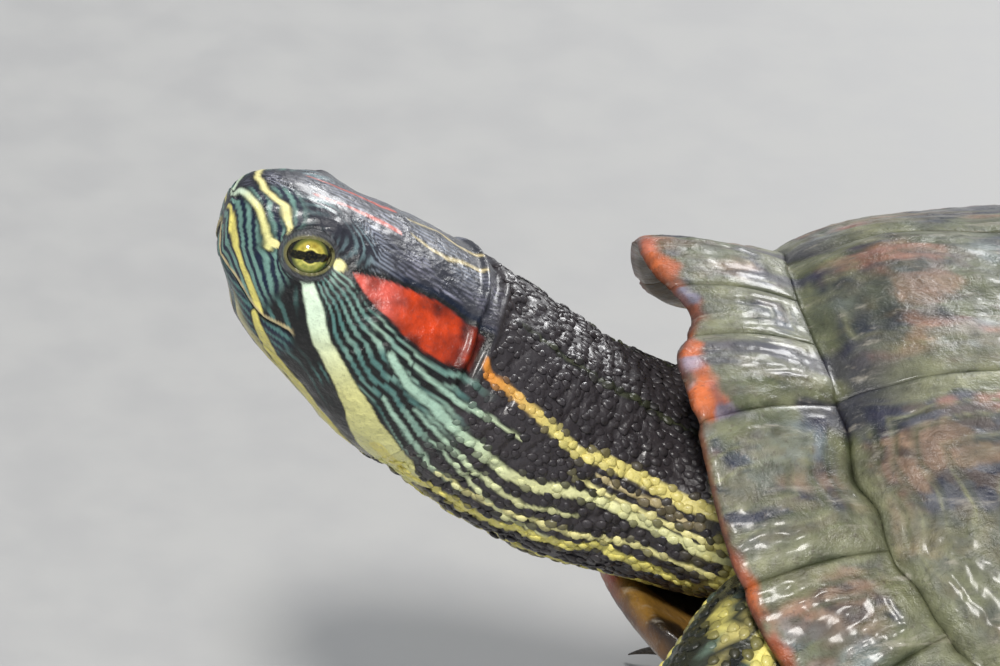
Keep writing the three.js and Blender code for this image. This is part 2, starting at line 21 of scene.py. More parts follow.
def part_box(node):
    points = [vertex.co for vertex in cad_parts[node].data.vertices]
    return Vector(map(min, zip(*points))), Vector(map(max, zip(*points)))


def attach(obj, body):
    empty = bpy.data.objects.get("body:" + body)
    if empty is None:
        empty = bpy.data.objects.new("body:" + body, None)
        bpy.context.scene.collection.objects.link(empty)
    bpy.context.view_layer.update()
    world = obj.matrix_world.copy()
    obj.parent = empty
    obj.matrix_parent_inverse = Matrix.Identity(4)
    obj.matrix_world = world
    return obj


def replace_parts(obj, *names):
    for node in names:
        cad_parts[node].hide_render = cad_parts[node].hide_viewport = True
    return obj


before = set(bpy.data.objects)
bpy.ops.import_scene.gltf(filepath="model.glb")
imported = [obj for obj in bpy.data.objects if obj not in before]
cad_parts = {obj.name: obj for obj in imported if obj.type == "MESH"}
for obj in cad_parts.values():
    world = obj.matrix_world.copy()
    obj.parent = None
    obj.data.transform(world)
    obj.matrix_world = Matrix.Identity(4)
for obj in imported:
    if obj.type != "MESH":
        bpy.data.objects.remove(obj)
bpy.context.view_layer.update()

print("solid nodes:", len(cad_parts))

# %% [markdown]
# ## Lines and frames
#
# A body is easiest to describe by tables: "at this place along the back, this high". A
# smooth curve through such a table can be polynomial, spline or Hermite. The Hermite curve
# below passes through every point and never swings far between them, which suits animals.


# %% Curves through small tables
def along(table, place):
    """A smooth curve through [place, value] pairs, read at many places at once."""
    x, y = np.array(table, float).T
    slope = np.empty_like(y)
    slope[1:-1] = (y[2:] - y[:-2]) / (x[2:] - x[:-2])
    slope[0] = (y[1] - y[0]) / (x[1] - x[0])
    slope[-1] = (y[-1] - y[-2]) / (x[-1] - x[-2])
    p = np.clip(place, x[0], x[-1])
    i = np.clip(np.searchsorted(x, p, side="right") - 1, 0, len(x) - 2)
    h = x[i + 1] - x[i]
    t = (p - x[i]) / h
    rise = (2 * t**3 - 3 * t**2 + 1) * y[i] + (3 * t**2 - 2 * t**3) * y[i + 1]
    return rise + h * ((t**3 - 2 * t**2 + t) * slope[i] + (t**3 - t**2) * slope[i + 1])


def smooth(low, high, value):
    t = np.clip((np.asarray(value, float) - low) / (high - low), 0, 1)
    return t * t * (3 - 2 * t)


def mix(a, b, t):
    return a + (b - a) * t


def bell(distance, width):
    return np.exp(-((distance / width) ** 2))


def signed_power(x, p):
    return np.sign(x) * np.abs(x) ** p


def unit(v):
    return v / np.maximum(np.linalg.norm(v, axis=-1, keepdims=True), 1e-9)


# %% [markdown]
# Skin and horn are never smooth. The irregularity comes from value noise: random numbers
# on a cubic lattice, blended in between. Adding finer and weaker copies gives the mix of
# large folds and small pits that weathered surfaces have.


# %% Value noise in space
def lattice(ix, iy, iz, seed):
    n = (ix * 374761393 + iy * 668265263 + iz * 2147483647 + seed * 1274126177) & 0xFFFFFFFF
    n = ((n ^ (n >> 13)) * 1274126177) & 0xFFFFFFFF
    return ((n ^ (n >> 16)) & 0xFFFF) / 32767.5 - 1.0


def noise(points, size, seed=0, octaves=1):
    """Smooth noise from -1 to 1 whose lumps are about `size` millimetres wide."""
    total, weight, scale = 0.0, 1.0, 1.0 / size
    for octave in range(octaves):
        q = points * scale
        base = np.floor(q).astype(np.int64)
        f = q - base
        f = f * f * (3 - 2 * f)
        value = 0.0
        for dx in (0, 1):
            for dy in (0, 1):
                for dz in (0, 1):
                    w = np.abs(1 - dx - f[..., 0]) * np.abs(1 - dy - f[..., 1])
                    w = w * np.abs(1 - dz - f[..., 2])
                    corner = lattice(base[..., 0] + dx, base[..., 1] + dy, base[..., 2] + dz, seed + octave)
                    value = value + w * corner
        total = total + weight * value
        weight *= 0.5
        scale *= 2.1
    return total


# %% [markdown]
# The shell leans nose up by 17 degrees, because the turtle stands on straight front legs
# with the back of its plastron on the ground. The head has a frame of its own, with x
# running forwards from the fold behind the skull. Turning points from one frame into
# another keeps each description simple.

# %% The shell's frame, the head's frame and the floor's frame
LEAN = math.radians(17)
REST_HEIGHT = 98 * math.sin(LEAN) + 46 * math.cos(LEAN) - 1.2
HEAD_FOLD = np.array([-155.9, 0.0, -10.9])
HEAD_PITCH = math.radians(16)


def turned(p, angle):
    """Turns points about the Y axis."""
    c, s = math.cos(angle), math.sin(angle)
    return np.stack([c * p[..., 0] + s * p[..., 2], p[..., 1], -s * p[..., 0] + c * p[..., 2]], -1)


def head_to_shell(p):
    flipped = p * np.array([-1.0, -1.0, 1.0])
    return turned(flipped, HEAD_PITCH) + HEAD_FOLD


def shell_to_head(p):
    return turned(p - HEAD_FOLD, -HEAD_PITCH) * np.array([-1.0, -1.0, 1.0])


def shell_to_stand(p):
    return turned(p, LEAN) + np.array([0.0, 0.0, REST_HEIGHT])


def stand_to_shell(p):
    return turned(p - np.array([0.0, 0.0, REST_HEIGHT]), -LEAN)

# %% Where the model stands
EYE = {"forward": 31.0, "side": 8.8, "up": 8.5, "radius": 4.3}
eye_low, eye_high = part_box("eye_left")
eye_box_centre = np.array((eye_low + eye_high) / 2) * 1000
left_eye_centre = np.array([EYE["forward"], EYE["side"], EYE["up"]])
STAND_OFFSET = eye_box_centre - shell_to_stand(head_to_shell(left_eye_centre))


def shell_to_row(p):
    return shell_to_stand(p) + STAND_OFFSET


def stand_to_row(p):
    return p + STAND_OFFSET


print("the stance is offset by", STAND_OFFSET.round(2), "mm")


# %% [markdown]
# ## Making meshes
#
# Most pieces are grids of points that a function places, as a cloth is laid over a form.
# A grid is easy to give thickness: the same grid again a little deeper, and a band of
# faces between the two edges. Numbers that the finish needs later, such as the distance
# to a seam, are kept on the points as attributes.


# %% Objects, and the numbers and colours that a mesh carries
def linked(name, data):
    """A new object for a mesh, a light or a camera."""
    thing = bpy.data.objects.new(name, data)
    bpy.context.scene.collection.objects.link(thing)
    return thing


def number_layer(mesh, name, values):
    layer = mesh.attributes.new(name, "FLOAT", "POINT")
    layer.data.foreach_set("value", np.asarray(values, np.float32))


def colour_layer(mesh, name, values):
    layer = mesh.attributes.new(name, "FLOAT_COLOR", "POINT")
    rgba = np.ones((len(values), 4), np.float32)
    rgba[:, :3] = values
    layer.data.foreach_set("color", rgba.ravel())


def values_of(mesh, name):
    flat = np.empty(len(mesh.vertices))
    mesh.attributes[name].data.foreach_get("value", flat)
    return flat


def read_points(mesh):
    flat = np.empty(len(mesh.vertices) * 3)
    mesh.vertices.foreach_get("co", flat)
    return flat.reshape(-1, 3) * 1000


def write_points(mesh, points):
    """Moves a mesh's points, and lifts those that lie under the floor's level onto it."""
    points[:, 2] = np.maximum(points[:, 2], 0.0)
    mesh.vertices.foreach_set("co", (points / 1000).astype(np.float32).ravel())
    mesh.update()


def new_mesh(name, points, faces, values=None):
    """A mesh object in metres from points in millimetres, with point attributes."""
    mesh = bpy.data.meshes.new(name)
    mesh.from_pydata((points / 1000).tolist(), [], faces)
    for key, value in (values or {}).items():
        add_layer = colour_layer if np.ndim(value) == 2 else number_layer
        add_layer(mesh, key, value)
    mesh.polygons.foreach_set("use_smooth", np.ones(len(mesh.polygons), bool))
    mesh.update()
    return linked(name, mesh)


def finish_piece(piece, material=None):
    """What every piece ends with: its body and, where one is given, its finish in place of any other."""
    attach(piece, "root")
    if material is not None:
        piece.data.materials.clear()
        piece.data.materials.append(material)


# %% Grids with thickness, and rings with closed ends
def grid_quads(rows, columns, wrap=False, start=0):
    r, c = np.meshgrid(np.arange(rows - 1), np.arange(columns - (0 if wrap else 1)), indexing="ij")
    after = (c + 1) % columns
    corners = [r * columns + c, r * columns + after, (r + 1) * columns + after, (r + 1) * columns + c]
    return np.stack(corners, -1).reshape(-1, 4) + start


def edge_loop(rows, columns):
    top = [(0, c) for c in range(columns)]
    right = [(r, columns - 1) for r in range(1, rows)]
    bottom = [(rows - 1, c) for c in range(columns - 2, -1, -1)]
    left = [(r, 0) for r in range(rows - 2, 0, -1)]
    return np.array([r * columns + c for r, c in top + right + bottom + left])


def volume_of(points, quads):
    """Above zero when the faces of a closed mesh look outwards."""
    a, b, c, d = (points[quads[:, k]] for k in range(4))
    return (np.cross(b - a, c - a) * a).sum() + (np.cross(c - a, d - a) * a).sum()


def plate_mesh(name, outer, inner, values):
    """A closed plate between an outer and an inner grid of the same size."""
    rows, columns = outer.shape[:2]
    count = rows * columns
    top = grid_quads(rows, columns)
    under = grid_quads(rows, columns, start=count)[:, ::-1]
    loop = edge_loop(rows, columns)
    after = np.roll(loop, -1)
    wall = np.stack([loop, loop + count, after + count, after], -1)
    points = np.concatenate([outer.reshape(-1, 3), inner.reshape(-1, 3)])
    quads = np.concatenate([top, under, wall])
    if volume_of(points, quads) < 0:
        quads = quads[:, ::-1]
    both = {key: np.concatenate([v.reshape(count, *v.shape[2:])] * 2) for key, v in values.items()}
    both["under"] = np.concatenate([np.zeros(count), np.ones(count)])
    return new_mesh(name, points, quads.tolist(), both)


def closed_rings(grid, first, last):
    """Points and faces of a ring grid with its two ends drawn to single points."""
    rows, columns = grid.shape[:2]
    points = np.concatenate([grid.reshape(-1, 3), [first, last]])
    quads = grid_quads(rows, columns, wrap=True)
    c = np.arange(columns)
    after = (c + 1) % columns
    start = np.full(columns, rows * columns)
    tail = (rows - 1) * columns
    fans = [np.stack([start, after, c], -1), np.stack([start + 1, tail + c, tail + after], -1)]
    faces = quads.tolist() + np.concatenate(fans).tolist()
    if volume_of(points, quads) < 0:
        faces = [face[::-1] for face in faces]
    return points, faces


# %% [markdown]
# ## The shell's surfaces
#
# A slider's upper shell is a low dome with a flared rim. Seen from above both outlines are
# superellipses, ovals with squarer shoulders. The dome rises from the seam of the marginal
# plates to a keel line, and the rim drops from the neck to the bridge and lifts a little
# again over the tail.

# %% The outline of the rim and the dome
RIM = {"length": 122.5, "width": 92.0, "roundness": 2.4, "spread": 0.04}
RIM_HEIGHT = {"front": 8.0, "side": -24.0, "rear": -14.0}
NOTCH = {"depth": 7.5, "width": 12.0}
SEAM = {"front": 95.0, "rear": 98.0, "width": 79.0, "roundness": 3.0}
SEAM_HEIGHT = {"front": 12.0, "side": -8.0, "rear": 1.0}
CROWN_LINE = [[-95, 12], [-89, 18], [-80, 23.5], [-62, 28.5], [-30, 39], [0, 43.5],
              [35, 42], [65, 34], [85, 19], [98, 1]]
PLATE_DEPTH = 4.0
RIM_DEPTH = 2.8
PLATE_SINK = 0.1  # how much thinner a plate of horn is than the solid it dresses
FAR_FROM_RIM = 60.0


def rim_point(degrees):
    """Angles run from 0 over the neck through 90 at the side to 180 over the tail."""
    a = np.radians(degrees)
    power = 2 / RIM["roundness"]
    x = -RIM["length"] * signed_power(np.cos(a), power)
    y = RIM["width"] * signed_power(np.sin(a), power) * (1 + RIM["spread"] * x / RIM["length"])
    ahead = smooth(0, 90, -x)
    notch = ahead * NOTCH["depth"] * bell(y, NOTCH["width"])
    end = mix(RIM_HEIGHT["rear"], RIM_HEIGHT["front"], ahead)
    z = mix(end, RIM_HEIGHT["side"], smooth(20, 72, np.abs(y)))
    return np.stack([x + notch, y, z], -1)


def seam_plan(degrees):
    a = np.radians(degrees)
    power = 2 / SEAM["roundness"]
    length = np.where(np.cos(a) > 0, SEAM["front"], SEAM["rear"])
    x = -length * signed_power(np.cos(a), power)
    return np.stack([x, SEAM["width"] * signed_power(np.sin(a), power)], -1)


def dome_point(plan):
    x, y = plan[..., 0], plan[..., 1]
    length = np.where(x < 0, SEAM["front"], SEAM["rear"])
    r = np.minimum(1, np.abs(x) / length)
    half = np.maximum(SEAM["width"] * (1 - r ** SEAM["roundness"]) ** (1 / SEAM["roundness"]), 1)
    end = np.where(x < 0, SEAM_HEIGHT["front"], SEAM_HEIGHT["rear"])
    edge = mix(end, SEAM_HEIGHT["side"], smooth(12, 68, half))
    across = np.minimum(1, np.abs(y) / half)
    height = edge + (along(CROWN_LINE, x) - edge) * (1 - across**2.2) ** 0.8
    return np.stack([x, y, height], -1)


def wandering(plan):
    """Moves a plan point sideways a little, so that no seam runs straight."""
    p = np.concatenate([plan, np.zeros(plan.shape[:-1] + (1,))], -1)
    calm = smooth(99, 90, np.abs(plan[..., 0]))[..., None]
    push = np.stack([noise(p, 15, 21, 2), noise(p, 15, 27, 2)], -1) * 1.7
    return plan + push * calm


def from_core(p):
    """Directions outwards from a line deep inside the body."""
    core = p * np.array([0.6, 0.45, 0.0]) - np.array([0.0, 0.0, 40.0])
    return unit(p - core)


def inwards(p, depth):
    """Moves points into the wall."""
    return p - from_core(p) * np.asarray(depth)[..., None]


def marginal_point(rim_degrees, seam_degrees, across):
    inner = dome_point(wandering(seam_plan(seam_degrees)))
    p = mix(inner, rim_point(rim_degrees), across[..., None])
    p[..., 2] += 1.5 * np.sin(np.pi * across)
    return p


# %% [markdown]
# ## The relief of a scute
#
# Scutes are thin horn plates. Each grows by adding a ring at its edge, so its surface
# shows grooves parallel to its outline around an older central patch, and it dips into
# the seam at the border. A wall of noise breaks the rings up, since real ones are worn.
# Sculpting thirty-eight plates by hand would never match at the seams. A height that
# depends only on the distance to the plate's own edge always does.


# %% The relief of a scute
def side_distances(grid):
    """How far each point of a plate is from each of the plate's four edges, along the surface."""
    rows, columns = grid.shape[:2]
    step_r = np.linalg.norm(np.diff(grid, axis=0), axis=2)
    step_c = np.linalg.norm(np.diff(grid, axis=1), axis=2)
    down = np.concatenate([np.zeros((1, columns)), np.cumsum(step_r, 0)])
    over = np.concatenate([np.zeros((rows, 1)), np.cumsum(step_c, 1)], 1)
    return [down, down[-1] - down, over, over[:, -1:] - over]


def scute_relief(grid, edge, seed, grooves):
    """Heights above the plain plate: a rounded border, growth grooves, dents and scratches."""
    border = -0.26 * bell(edge, 0.45) - 0.42 * bell(edge, 2.6)
    wander = edge + 1.1 * noise(grid, 9, seed, 2) + 0.35 * noise(grid, 2.2, seed + 5)
    rings = -sum(depth * bell(wander - place, width) for place, depth, width in grooves)
    swell = 0.36 * noise(grid, 16, seed + 11, 2)
    pits = 0.13 * noise(grid, 2.4, seed + 17, 3)
    scratch = 0.07 * noise(grid * np.array([0.35, 1.0, 1.0]), 0.9, seed + 23)
    fade = smooth(0.3, 1.6, edge)
    return border + fade * (rings + swell + pits + scratch)


def raised_way(grid, edge):
    """The direction of relief: the surface's own, but at a seam one that both plates share."""
    normals = unit(np.cross(np.gradient(grid, axis=0), np.gradient(grid, axis=1)))
    normals = normals * np.sign(normals[..., 2].mean())
    return unit(mix(normals, from_core(grid), smooth(3.2, 0.5, edge)[..., None]))


# %% Outlines of the scutes, seen from above
VERTEBRAL_SEAMS = [-52, -8, 36, 70]
VERTEBRAL_HALF = 24
PLEURAL_TIPS = [[-30, 33], [14, 33], [54, 29]]
PLEURAL_OUTER = [70, 93, 120]
FRONT_CORNER = 9
REAR_CORNER = 165
RIM_SEAMS = [3.5, 16.2, 31, 45, 59, 72.5, 86, 99.5, 113, 127, 142, 160, 180.09]
INNER_SEAMS = [1.6, 9.4, 28.3, 44, 58.5, 72.3, 86, 99.5, 113.2, 128, 144, 162, 180.1]


def bent(points, bend=0.5):
    a, b, c = (np.array(p, float) for p in points)

    def line(t):
        t = np.asarray(t, float)[..., None]
        return np.where(t < bend, mix(a, b, t / bend), mix(b, c, (t - bend) / (1 - bend)))

    return line


def straight(a, b):
    a, b = np.array(a, float), np.array(b, float)
    return bent([a, (a + b) / 2, b])


def seam_arc(start, end):
    return lambda t: seam_plan(mix(start, end, np.asarray(t, float)))


def filled(front, back, inner, outer):
    """A plan that fills the space between four edge lines (a Coons patch)."""

    def plan(s, t):
        a, b = s[..., None], t[..., None]
        ends = mix(mix(front(0.0), front(1.0), b), mix(back(0.0), back(1.0), b), a)
        return mix(front(t), back(t), a) + mix(inner(s), outer(s), b) - ends

    return plan


def vertebral_plan(index):
    def across(x):
        return straight([x, -VERTEBRAL_HALF], [x, VERTEBRAL_HALF])

    front = seam_arc(-FRONT_CORNER, FRONT_CORNER)
    back = seam_arc(-REAR_CORNER - 0.001, REAR_CORNER - 360)
    if index > 0:
        front = across(VERTEBRAL_SEAMS[index - 1])
    if index < 4:
        back = across(VERTEBRAL_SEAMS[index])

    def side_edge(side):
        a, b = front((side + 1) / 2), back((side + 1) / 2)
        if index == 0 or index == 4:
            return straight(a, b)
        tip = PLEURAL_TIPS[index - 1]
        return bent([a, [tip[0], side * tip[1]], b], (tip[0] - a[0]) / (b[0] - a[0]))

    return filled(front, back, side_edge(-1), side_edge(1))


def pleural_plan(index, side):
    flip = np.array([1, side])
    seam_x = VERTEBRAL_SEAMS[index]
    start = seam_plan(FRONT_CORNER) if index == 0 else np.array(PLEURAL_TIPS[index - 1], float)
    stop = seam_plan(REAR_CORNER) if index == 3 else np.array(PLEURAL_TIPS[index], float)
    first = 30 if index == 0 else PLEURAL_OUTER[index - 1]
    last = 150 if index == 3 else PLEURAL_OUTER[index]
    bend = (seam_x - start[0]) / (stop[0] - start[0])
    inner = bent([start * flip, np.array([seam_x, VERTEBRAL_HALF]) * flip, stop * flip], bend)
    outer = seam_arc(side * first, side * last)
    front = seam_arc(side * FRONT_CORNER, side * 30) if index == 0 else straight(start * flip, outer(0.0))
    back = seam_arc(side * REAR_CORNER, side * 150) if index == 3 else straight(stop * flip, outer(1.0))
    return filled(front, back, inner, outer)


# %% Plates of the dome
# place, depth and width of each growth ring
DOME_GROOVES = [(4.4, 0.16, 0.5), (8.0, 0.22, 0.8), (13.5, 0.20, 0.9), (19.5, 0.12, 1.0)]
plates = []


def unit_grid(rows, columns, inset):
    s = np.linspace(inset, 1 - inset, rows)
    t = np.linspace(inset, 1 - inset, columns)
    return np.meshgrid(s, t, indexing="ij")


def plate_size(plan, spacing):
    s, t = unit_grid(9, 9, 0.0)
    rough = dome_point(plan(s, t))
    down = np.linalg.norm(np.diff(rough, axis=0), axis=2).sum(0).max()
    over = np.linalg.norm(np.diff(rough, axis=1), axis=2).sum(1).max()
    return max(12, int(down / spacing)), max(12, int(over / spacing))


def add_plate(name, outer, inner, edge, rim):
    """Makes a plate between two grids of the shell's frame, in place of the solid of that name."""
    piece = plate_mesh("scute_" + name, shell_to_row(outer), shell_to_row(inner), {"edge": edge, "rim": rim})
    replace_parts(piece, name)
    plates.append(piece)


def dome_plate(name, plan, seed, spacing, keel=0.0):
    rows, columns = plate_size(plan, spacing * (1))
    s, t = unit_grid(rows, columns, 0.0004)
    grid = dome_point(wandering(plan(s, t)))
    edge = np.min(side_distances(grid), axis=0)
    height = scute_relief(grid, edge, seed, DOME_GROOVES)
    ridge = bell(grid[..., 1], 3.4) * (0.6 + 0.4 * noise(grid, 7, 3))
    height = height + keel * ridge * smooth(0.5, 4, edge)
    outer = grid + raised_way(grid, edge) * height[..., None]
    inner = inwards(grid, np.full(edge.shape, PLATE_DEPTH - PLATE_SINK))
    add_plate(name, outer, inner, edge, np.full(edge.shape, FAR_FROM_RIM))


SIDES = {"left": -1, "right": 1}
for index in range(5):
    spacing = 0.85 if index < 2 else 1.3
    dome_plate(f"vertebral_{index + 1}", vertebral_plan(index), 31 + index, spacing, 1.0 - 0.12 * index)
for label, side in SIDES.items():
    for index in range(4):
        spacing = 0.75 if (label, index) == ("left", 0) else 1.25
        dome_plate(f"pleural_{label}_{index + 1}", pleural_plan(index, side), 47 + 5 * index + side, spacing)
print("dome plates:", len(plates))

# %% [markdown]
# The marginals are the plates of the rim. Their outer border is the shell's edge, thick
# and blunt over the neck, and each has the same grooves a few millimetres in from its
# seams. Their grid runs from the dome's seam to the rim, so `rim` tells how far a point
# is from the open edge. The horn there is often worn to a warm orange.

# %% Plates of the rim
RIM_GROOVES = [(3.4, 0.12, 0.5), (6.2, 0.22, 0.6), (9.6, 0.10, 0.7)]
RIM_WIDTH = 27  # from the dome's seam to the open edge


def rim_plate(name, at_rim, at_seam, side, seed, spacing):
    """A plate between two angles at the rim and two at the dome's seam."""
    length = np.linalg.norm(rim_point(at_rim[1]) - rim_point(at_rim[0]))
    spacing = spacing * 1
    rows = max(8, int(length / spacing))
    columns = max(10, int(RIM_WIDTH / spacing))
    t, b = np.meshgrid(np.linspace(0.0008, 0.9992, rows), np.linspace(0.0008, 1, columns), indexing="ij")
    grid = marginal_point(side * mix(*at_rim, t), side * mix(*at_seam, t), b)
    *seam_sides, to_rim = side_distances(grid)
    seam_edge = np.min(seam_sides, axis=0)
    height = scute_relief(grid, seam_edge, seed, RIM_GROOVES)
    height = height - 0.9 * bell(to_rim, 0.8)
    outer = grid + raised_way(grid, seam_edge) * height[..., None]
    inner = inwards(grid, mix(PLATE_DEPTH, RIM_DEPTH, b) - PLATE_SINK)
    inner[..., 2] += 0.5 * bell(to_rim, 1.2)
    add_plate(name, outer, inner, seam_edge, to_rim)


for label, side in SIDES.items():
    for index in range(12):
        spacing = 1.1 if index > 2 else (0.55 if label == "left" else 0.75)
        seams = RIM_SEAMS[index:index + 2], INNER_SEAMS[index:index + 2]
        rim_plate(f"marginal_{label}_{index + 1}", *seams, side, 71 + 3 * index + side, spacing)
rim_plate("nuchal", (-RIM_SEAMS[0], RIM_SEAMS[0]), (-INNER_SEAMS[0], INNER_SEAMS[0]), 1, 90, 0.55)
print("all plates of the upper shell:", len(plates))

# %% [markdown]
# ## The horn's colours
#
# An old slider's shell is not green. Wet horn shows olive, tan and slate patches, algae
# gather in the seams, mud dries into the growth grooves, and the front edges wear down to
# orange. Each of these depends on something the plates already know: their distance to a
# seam or to the open rim, and where they sit on the body. The colours are therefore worked
# out point by point, and the shader later adds only what is finer than the mesh.

# %% Colours of the upper shell
def linear(code):
    s = np.array([int(code[i:i + 2], 16) / 255 for i in (1, 3, 5)])
    return np.where(s <= 0.04045, s / 12.92, ((s + 0.055) / 1.055) ** 2.4)


HORN = {name: linear(code) for name, code in {
    "olive": "#5b5f49", "tan": "#85695a", "pink": "#a3705c", "navy": "#1c2135", "slate": "#414a58",
    "haze": "#7f8b92", "algae": "#3a4226", "mud": "#7b7c5f", "orange": "#bd5c26", "salmon": "#b9664e",
    "rust": "#64341e", "yellow": "#d8a441", "smudge": "#241c15", "umber": "#4a3a2c",
}.items()}


class Coats:
    """Colours of a set of points, laid on in coats. A hue is a palette's name or a colour."""

    def __init__(self, palette, base, count):
        self.palette = palette
        self.colour = np.ones((count, 3)) * palette[base]

    def between(self, a, b, share):
        a, b = (self.palette[hue] if isinstance(hue, str) else hue for hue in (a, b))
        return mix(a, b, np.asarray(share)[..., None])

    def lay(self, hue, cover):
        self.colour = self.between(self.colour, hue, np.clip(cover, 0, 1))


def horn_colours(p, edge, rim, under, seed):
    """Colours of a plate's points (shell frame), with its seam and rim distances."""
    broad = noise(p, 24, 901, 2)
    patch = noise(p * np.array([0.6, 1.2, 1.0]), 11, 903, 3)
    fine = noise(p, 3.2, 905, 3)
    streak = noise(p * np.array([0.22, 1.0, 1.0]), 2.3, 907, 2)
    horn = Coats(HORN, "olive", len(p))
    horn.lay("tan", smooth(-0.15, 0.3, broad + 0.3 * patch) * 0.8)
    horn.lay("slate", smooth(0.05, 0.35, patch + 0.2 * streak) * 0.85)
    horn.lay("navy", smooth(0.02, 0.28, noise(p, 16, 911 + seed, 2) + 0.35 * streak + 0.15 * fine) * 0.85)
    horn.lay("pink", smooth(0.2, 0.5, noise(p, 13, 913, 3)) * smooth(3, 8, edge) * 0.7)
    horn.lay("haze", smooth(0.25, 0.6, noise(p, 15, 917, 2) + 0.3 * streak) * 0.55)
    horn.lay("umber", smooth(0.1, 0.4, streak + 0.5 * fine) * 0.6)
    ragged = smooth(0.05, 0.2, noise(p * np.array([1.0, 0.45, 1.0]), 7, 961, 4)) * smooth(2.5, 5, edge)
    horn.lay("navy", ragged * smooth(-0.1, 0.3, patch) * 0.7)

    # mud and algae: in the growth grooves, along the seams and as a thin film
    wander = edge + 1.3 * noise(p, 9, 919, 2) + 0.4 * noise(p, 2.5, 921)
    for groove in (3.4, 7.0, 11.3, 16.2):
        horn.lay("mud", bell(wander - groove, 0.35) * (0.35 + 0.5 * patch))
        horn.lay("algae", bell(wander - groove - 0.9, 0.6) * (0.4 + 0.5 * broad))
    moss = smooth(5.2, 2.2, edge + 3.2 * noise(p, 9, 923, 3)) * smooth(2.0, 4.0, rim)
    horn.lay(horn.between("algae", "mud", 0.55 + 0.5 * noise(p, 7, 924, 2)), moss * 0.85)
    horn.lay(HORN["algae"] * 0.6, smooth(1.1, 0.2, edge + 0.5 * noise(p, 4, 926)) * 0.8)
    horn.lay("mud", smooth(0.15, 0.45, noise(p, 18, 928, 3) + 0.25 * streak) * 0.45)
    horn.lay("olive", bell(p[:, 1], 7) * (rim > 50) * 0.5)

    # horn worn to orange at the front edge, most of all on the first pair of the rim
    x, y, side = p[:, 0], np.abs(p[:, 1]), p[:, 1] > 0
    first_pair = smooth(31.5, 28.5, y) * smooth(9.5, 13.0, y) * smooth(-80, -92, x)
    third_corner = bell(np.hypot(y - 51, x + 99), 8)
    reach = 0.5 + (5.4 - 3.0 * side) * first_pair + 3.4 * third_corner
    reach = reach + 1.8 * smooth(0.1, 0.4, noise(p, 21, 941))
    worn = smooth(reach + 1.2, reach - 1.2, rim + 2.4 * noise(p, 6, 927, 2))
    worn = worn * smooth(-0.6, -0.1, noise(p, 8, 929, 2))
    warm = horn.between("orange", "salmon", smooth(-0.2, 0.3, noise(p, 5, 931, 2)))
    warm = horn.between(warm, "rust", (1 - np.maximum(first_pair, third_corner)) * 0.75)
    lilac = HORN["haze"] * np.array([1.0, 0.9, 1.15])
    warm = horn.between(warm, lilac, smooth(0.15, 0.5, noise(p, 6, 943, 2)) * 0.8)
    horn.lay(warm, worn * 0.95)
    plum = HORN["navy"] * np.array([1.6, 1.1, 1.2])
    horn.lay(plum, first_pair * smooth(3.0, 5.5, rim) * smooth(-0.1, 0.3, patch + 0.3) * 0.75)
    horn.lay("rust", smooth(1.2, 0.4, rim + 0.4 * fine) * 0.8)
    pale = smooth(0.15, 0.55, noise(p, 19, 933 + seed, 2)) * smooth(3, 9, rim) * smooth(22, 12, rim)
    horn.lay("yellow", pale * smooth(-30, 10, x) * 0.55)

    below = Coats(HORN, "yellow", len(p))
    below.colour = horn.between("yellow", "umber", 0.35 + 0.35 * broad)
    smudge = smooth(9, 5.5, np.abs(rim - 12) + 3 * noise(p, 7, 935, 2)) * smooth(2.5, 6, edge)
    below.lay("smudge", smudge * 0.9)
    # painted shade: the front of the rim's under face is darkened, as the shade under the rim
    below.lay(HORN["umber"] * 0.7, smooth(-88, -100, x) * 0.8)
    colour = np.where(under[:, None] > 0.5, below.colour, horn.colour)
    return np.clip(colour * (1 + 0.3 * fine + 0.25 * noise(p, 1.7, 951, 2))[:, None], 0.002, 1)


def on_rim(piece):
    return "marginal" in piece.name or "nuchal" in piece.name


for number, piece in enumerate(plates):
    p = stand_to_shell(read_points(piece.data) - STAND_OFFSET)
    edge, rim, under = (values_of(piece.data, key) for key in ("edge", "rim", "under"))
    colour_layer(piece.data, "tint", horn_colours(p, edge, rim, under, number % 5))
    finish_piece(piece)
print("coloured plates:", len(plates))

# %% [markdown]
# ## One skin for head, neck, body and legs
#
# Flesh has no seams, so one closed mesh covers all of it. The head and neck come first.
# They are a stack of rings along an axis, like a sock pulled over a hand. Each ring knows
# its place along the axis and the angle of each of its points, and every fold, lid and
# stripe is later written in those two numbers. The rings are closest at the face, where
# the detail is finest.

# %% Profiles of the head and neck
HEAD_TOP = [[0, 18.6], [13, 18.2], [24, 17.4], [31, 16.6], [35, 15.4], [38.5, 12.8], [41, 9.6], [42.4, 6.2]]
HEAD_BOTTOM = [[0, -19.6], [8, -18.4], [17, -15.4], [26, -12.8], [32, -10.2], [36.6, -7.6], [40, -5],
               [42.4, -2.4]]
HEAD_HALF = [[0, 20.8], [8, 20.4], [16, 18.8], [23, 16], [28.5, 13.6], [34, 11], [38, 8.4], [41, 5.6],
             [42.4, 3.2]]
NECK_PLACES = [[-156.0, -11.4], [-148, -14.2], [-135, -18.8], [-120, -22.4], [-104, -22.4], [-84, -18]]
NECK_HALF = [20.8, 21.2, 20.9, 21.3, 24.7, 33.5]
NECK_HEIGHT = [19.1, 19.3, 19.1, 18.3, 17.2, 22.6]
SNOUT_ROUND = 41.7
NOSE_CAP = 5.0  # how far the marks run on over the blunt front, from its border to its middle
SNOUT_SLANT = 0.42  # the nose reaches further forwards than the jaws


def table_of(values):
    return [[i, v] for i, v in enumerate(values)]


def neck_axis(share):
    """Centre of the neck in the shell's frame; share runs from 0 at the skull to 5 in the shell."""
    x = along(table_of([p[0] for p in NECK_PLACES]), share)
    z = along(table_of([p[1] for p in NECK_PLACES]), share)
    return np.stack([x, np.zeros_like(x), z], -1)


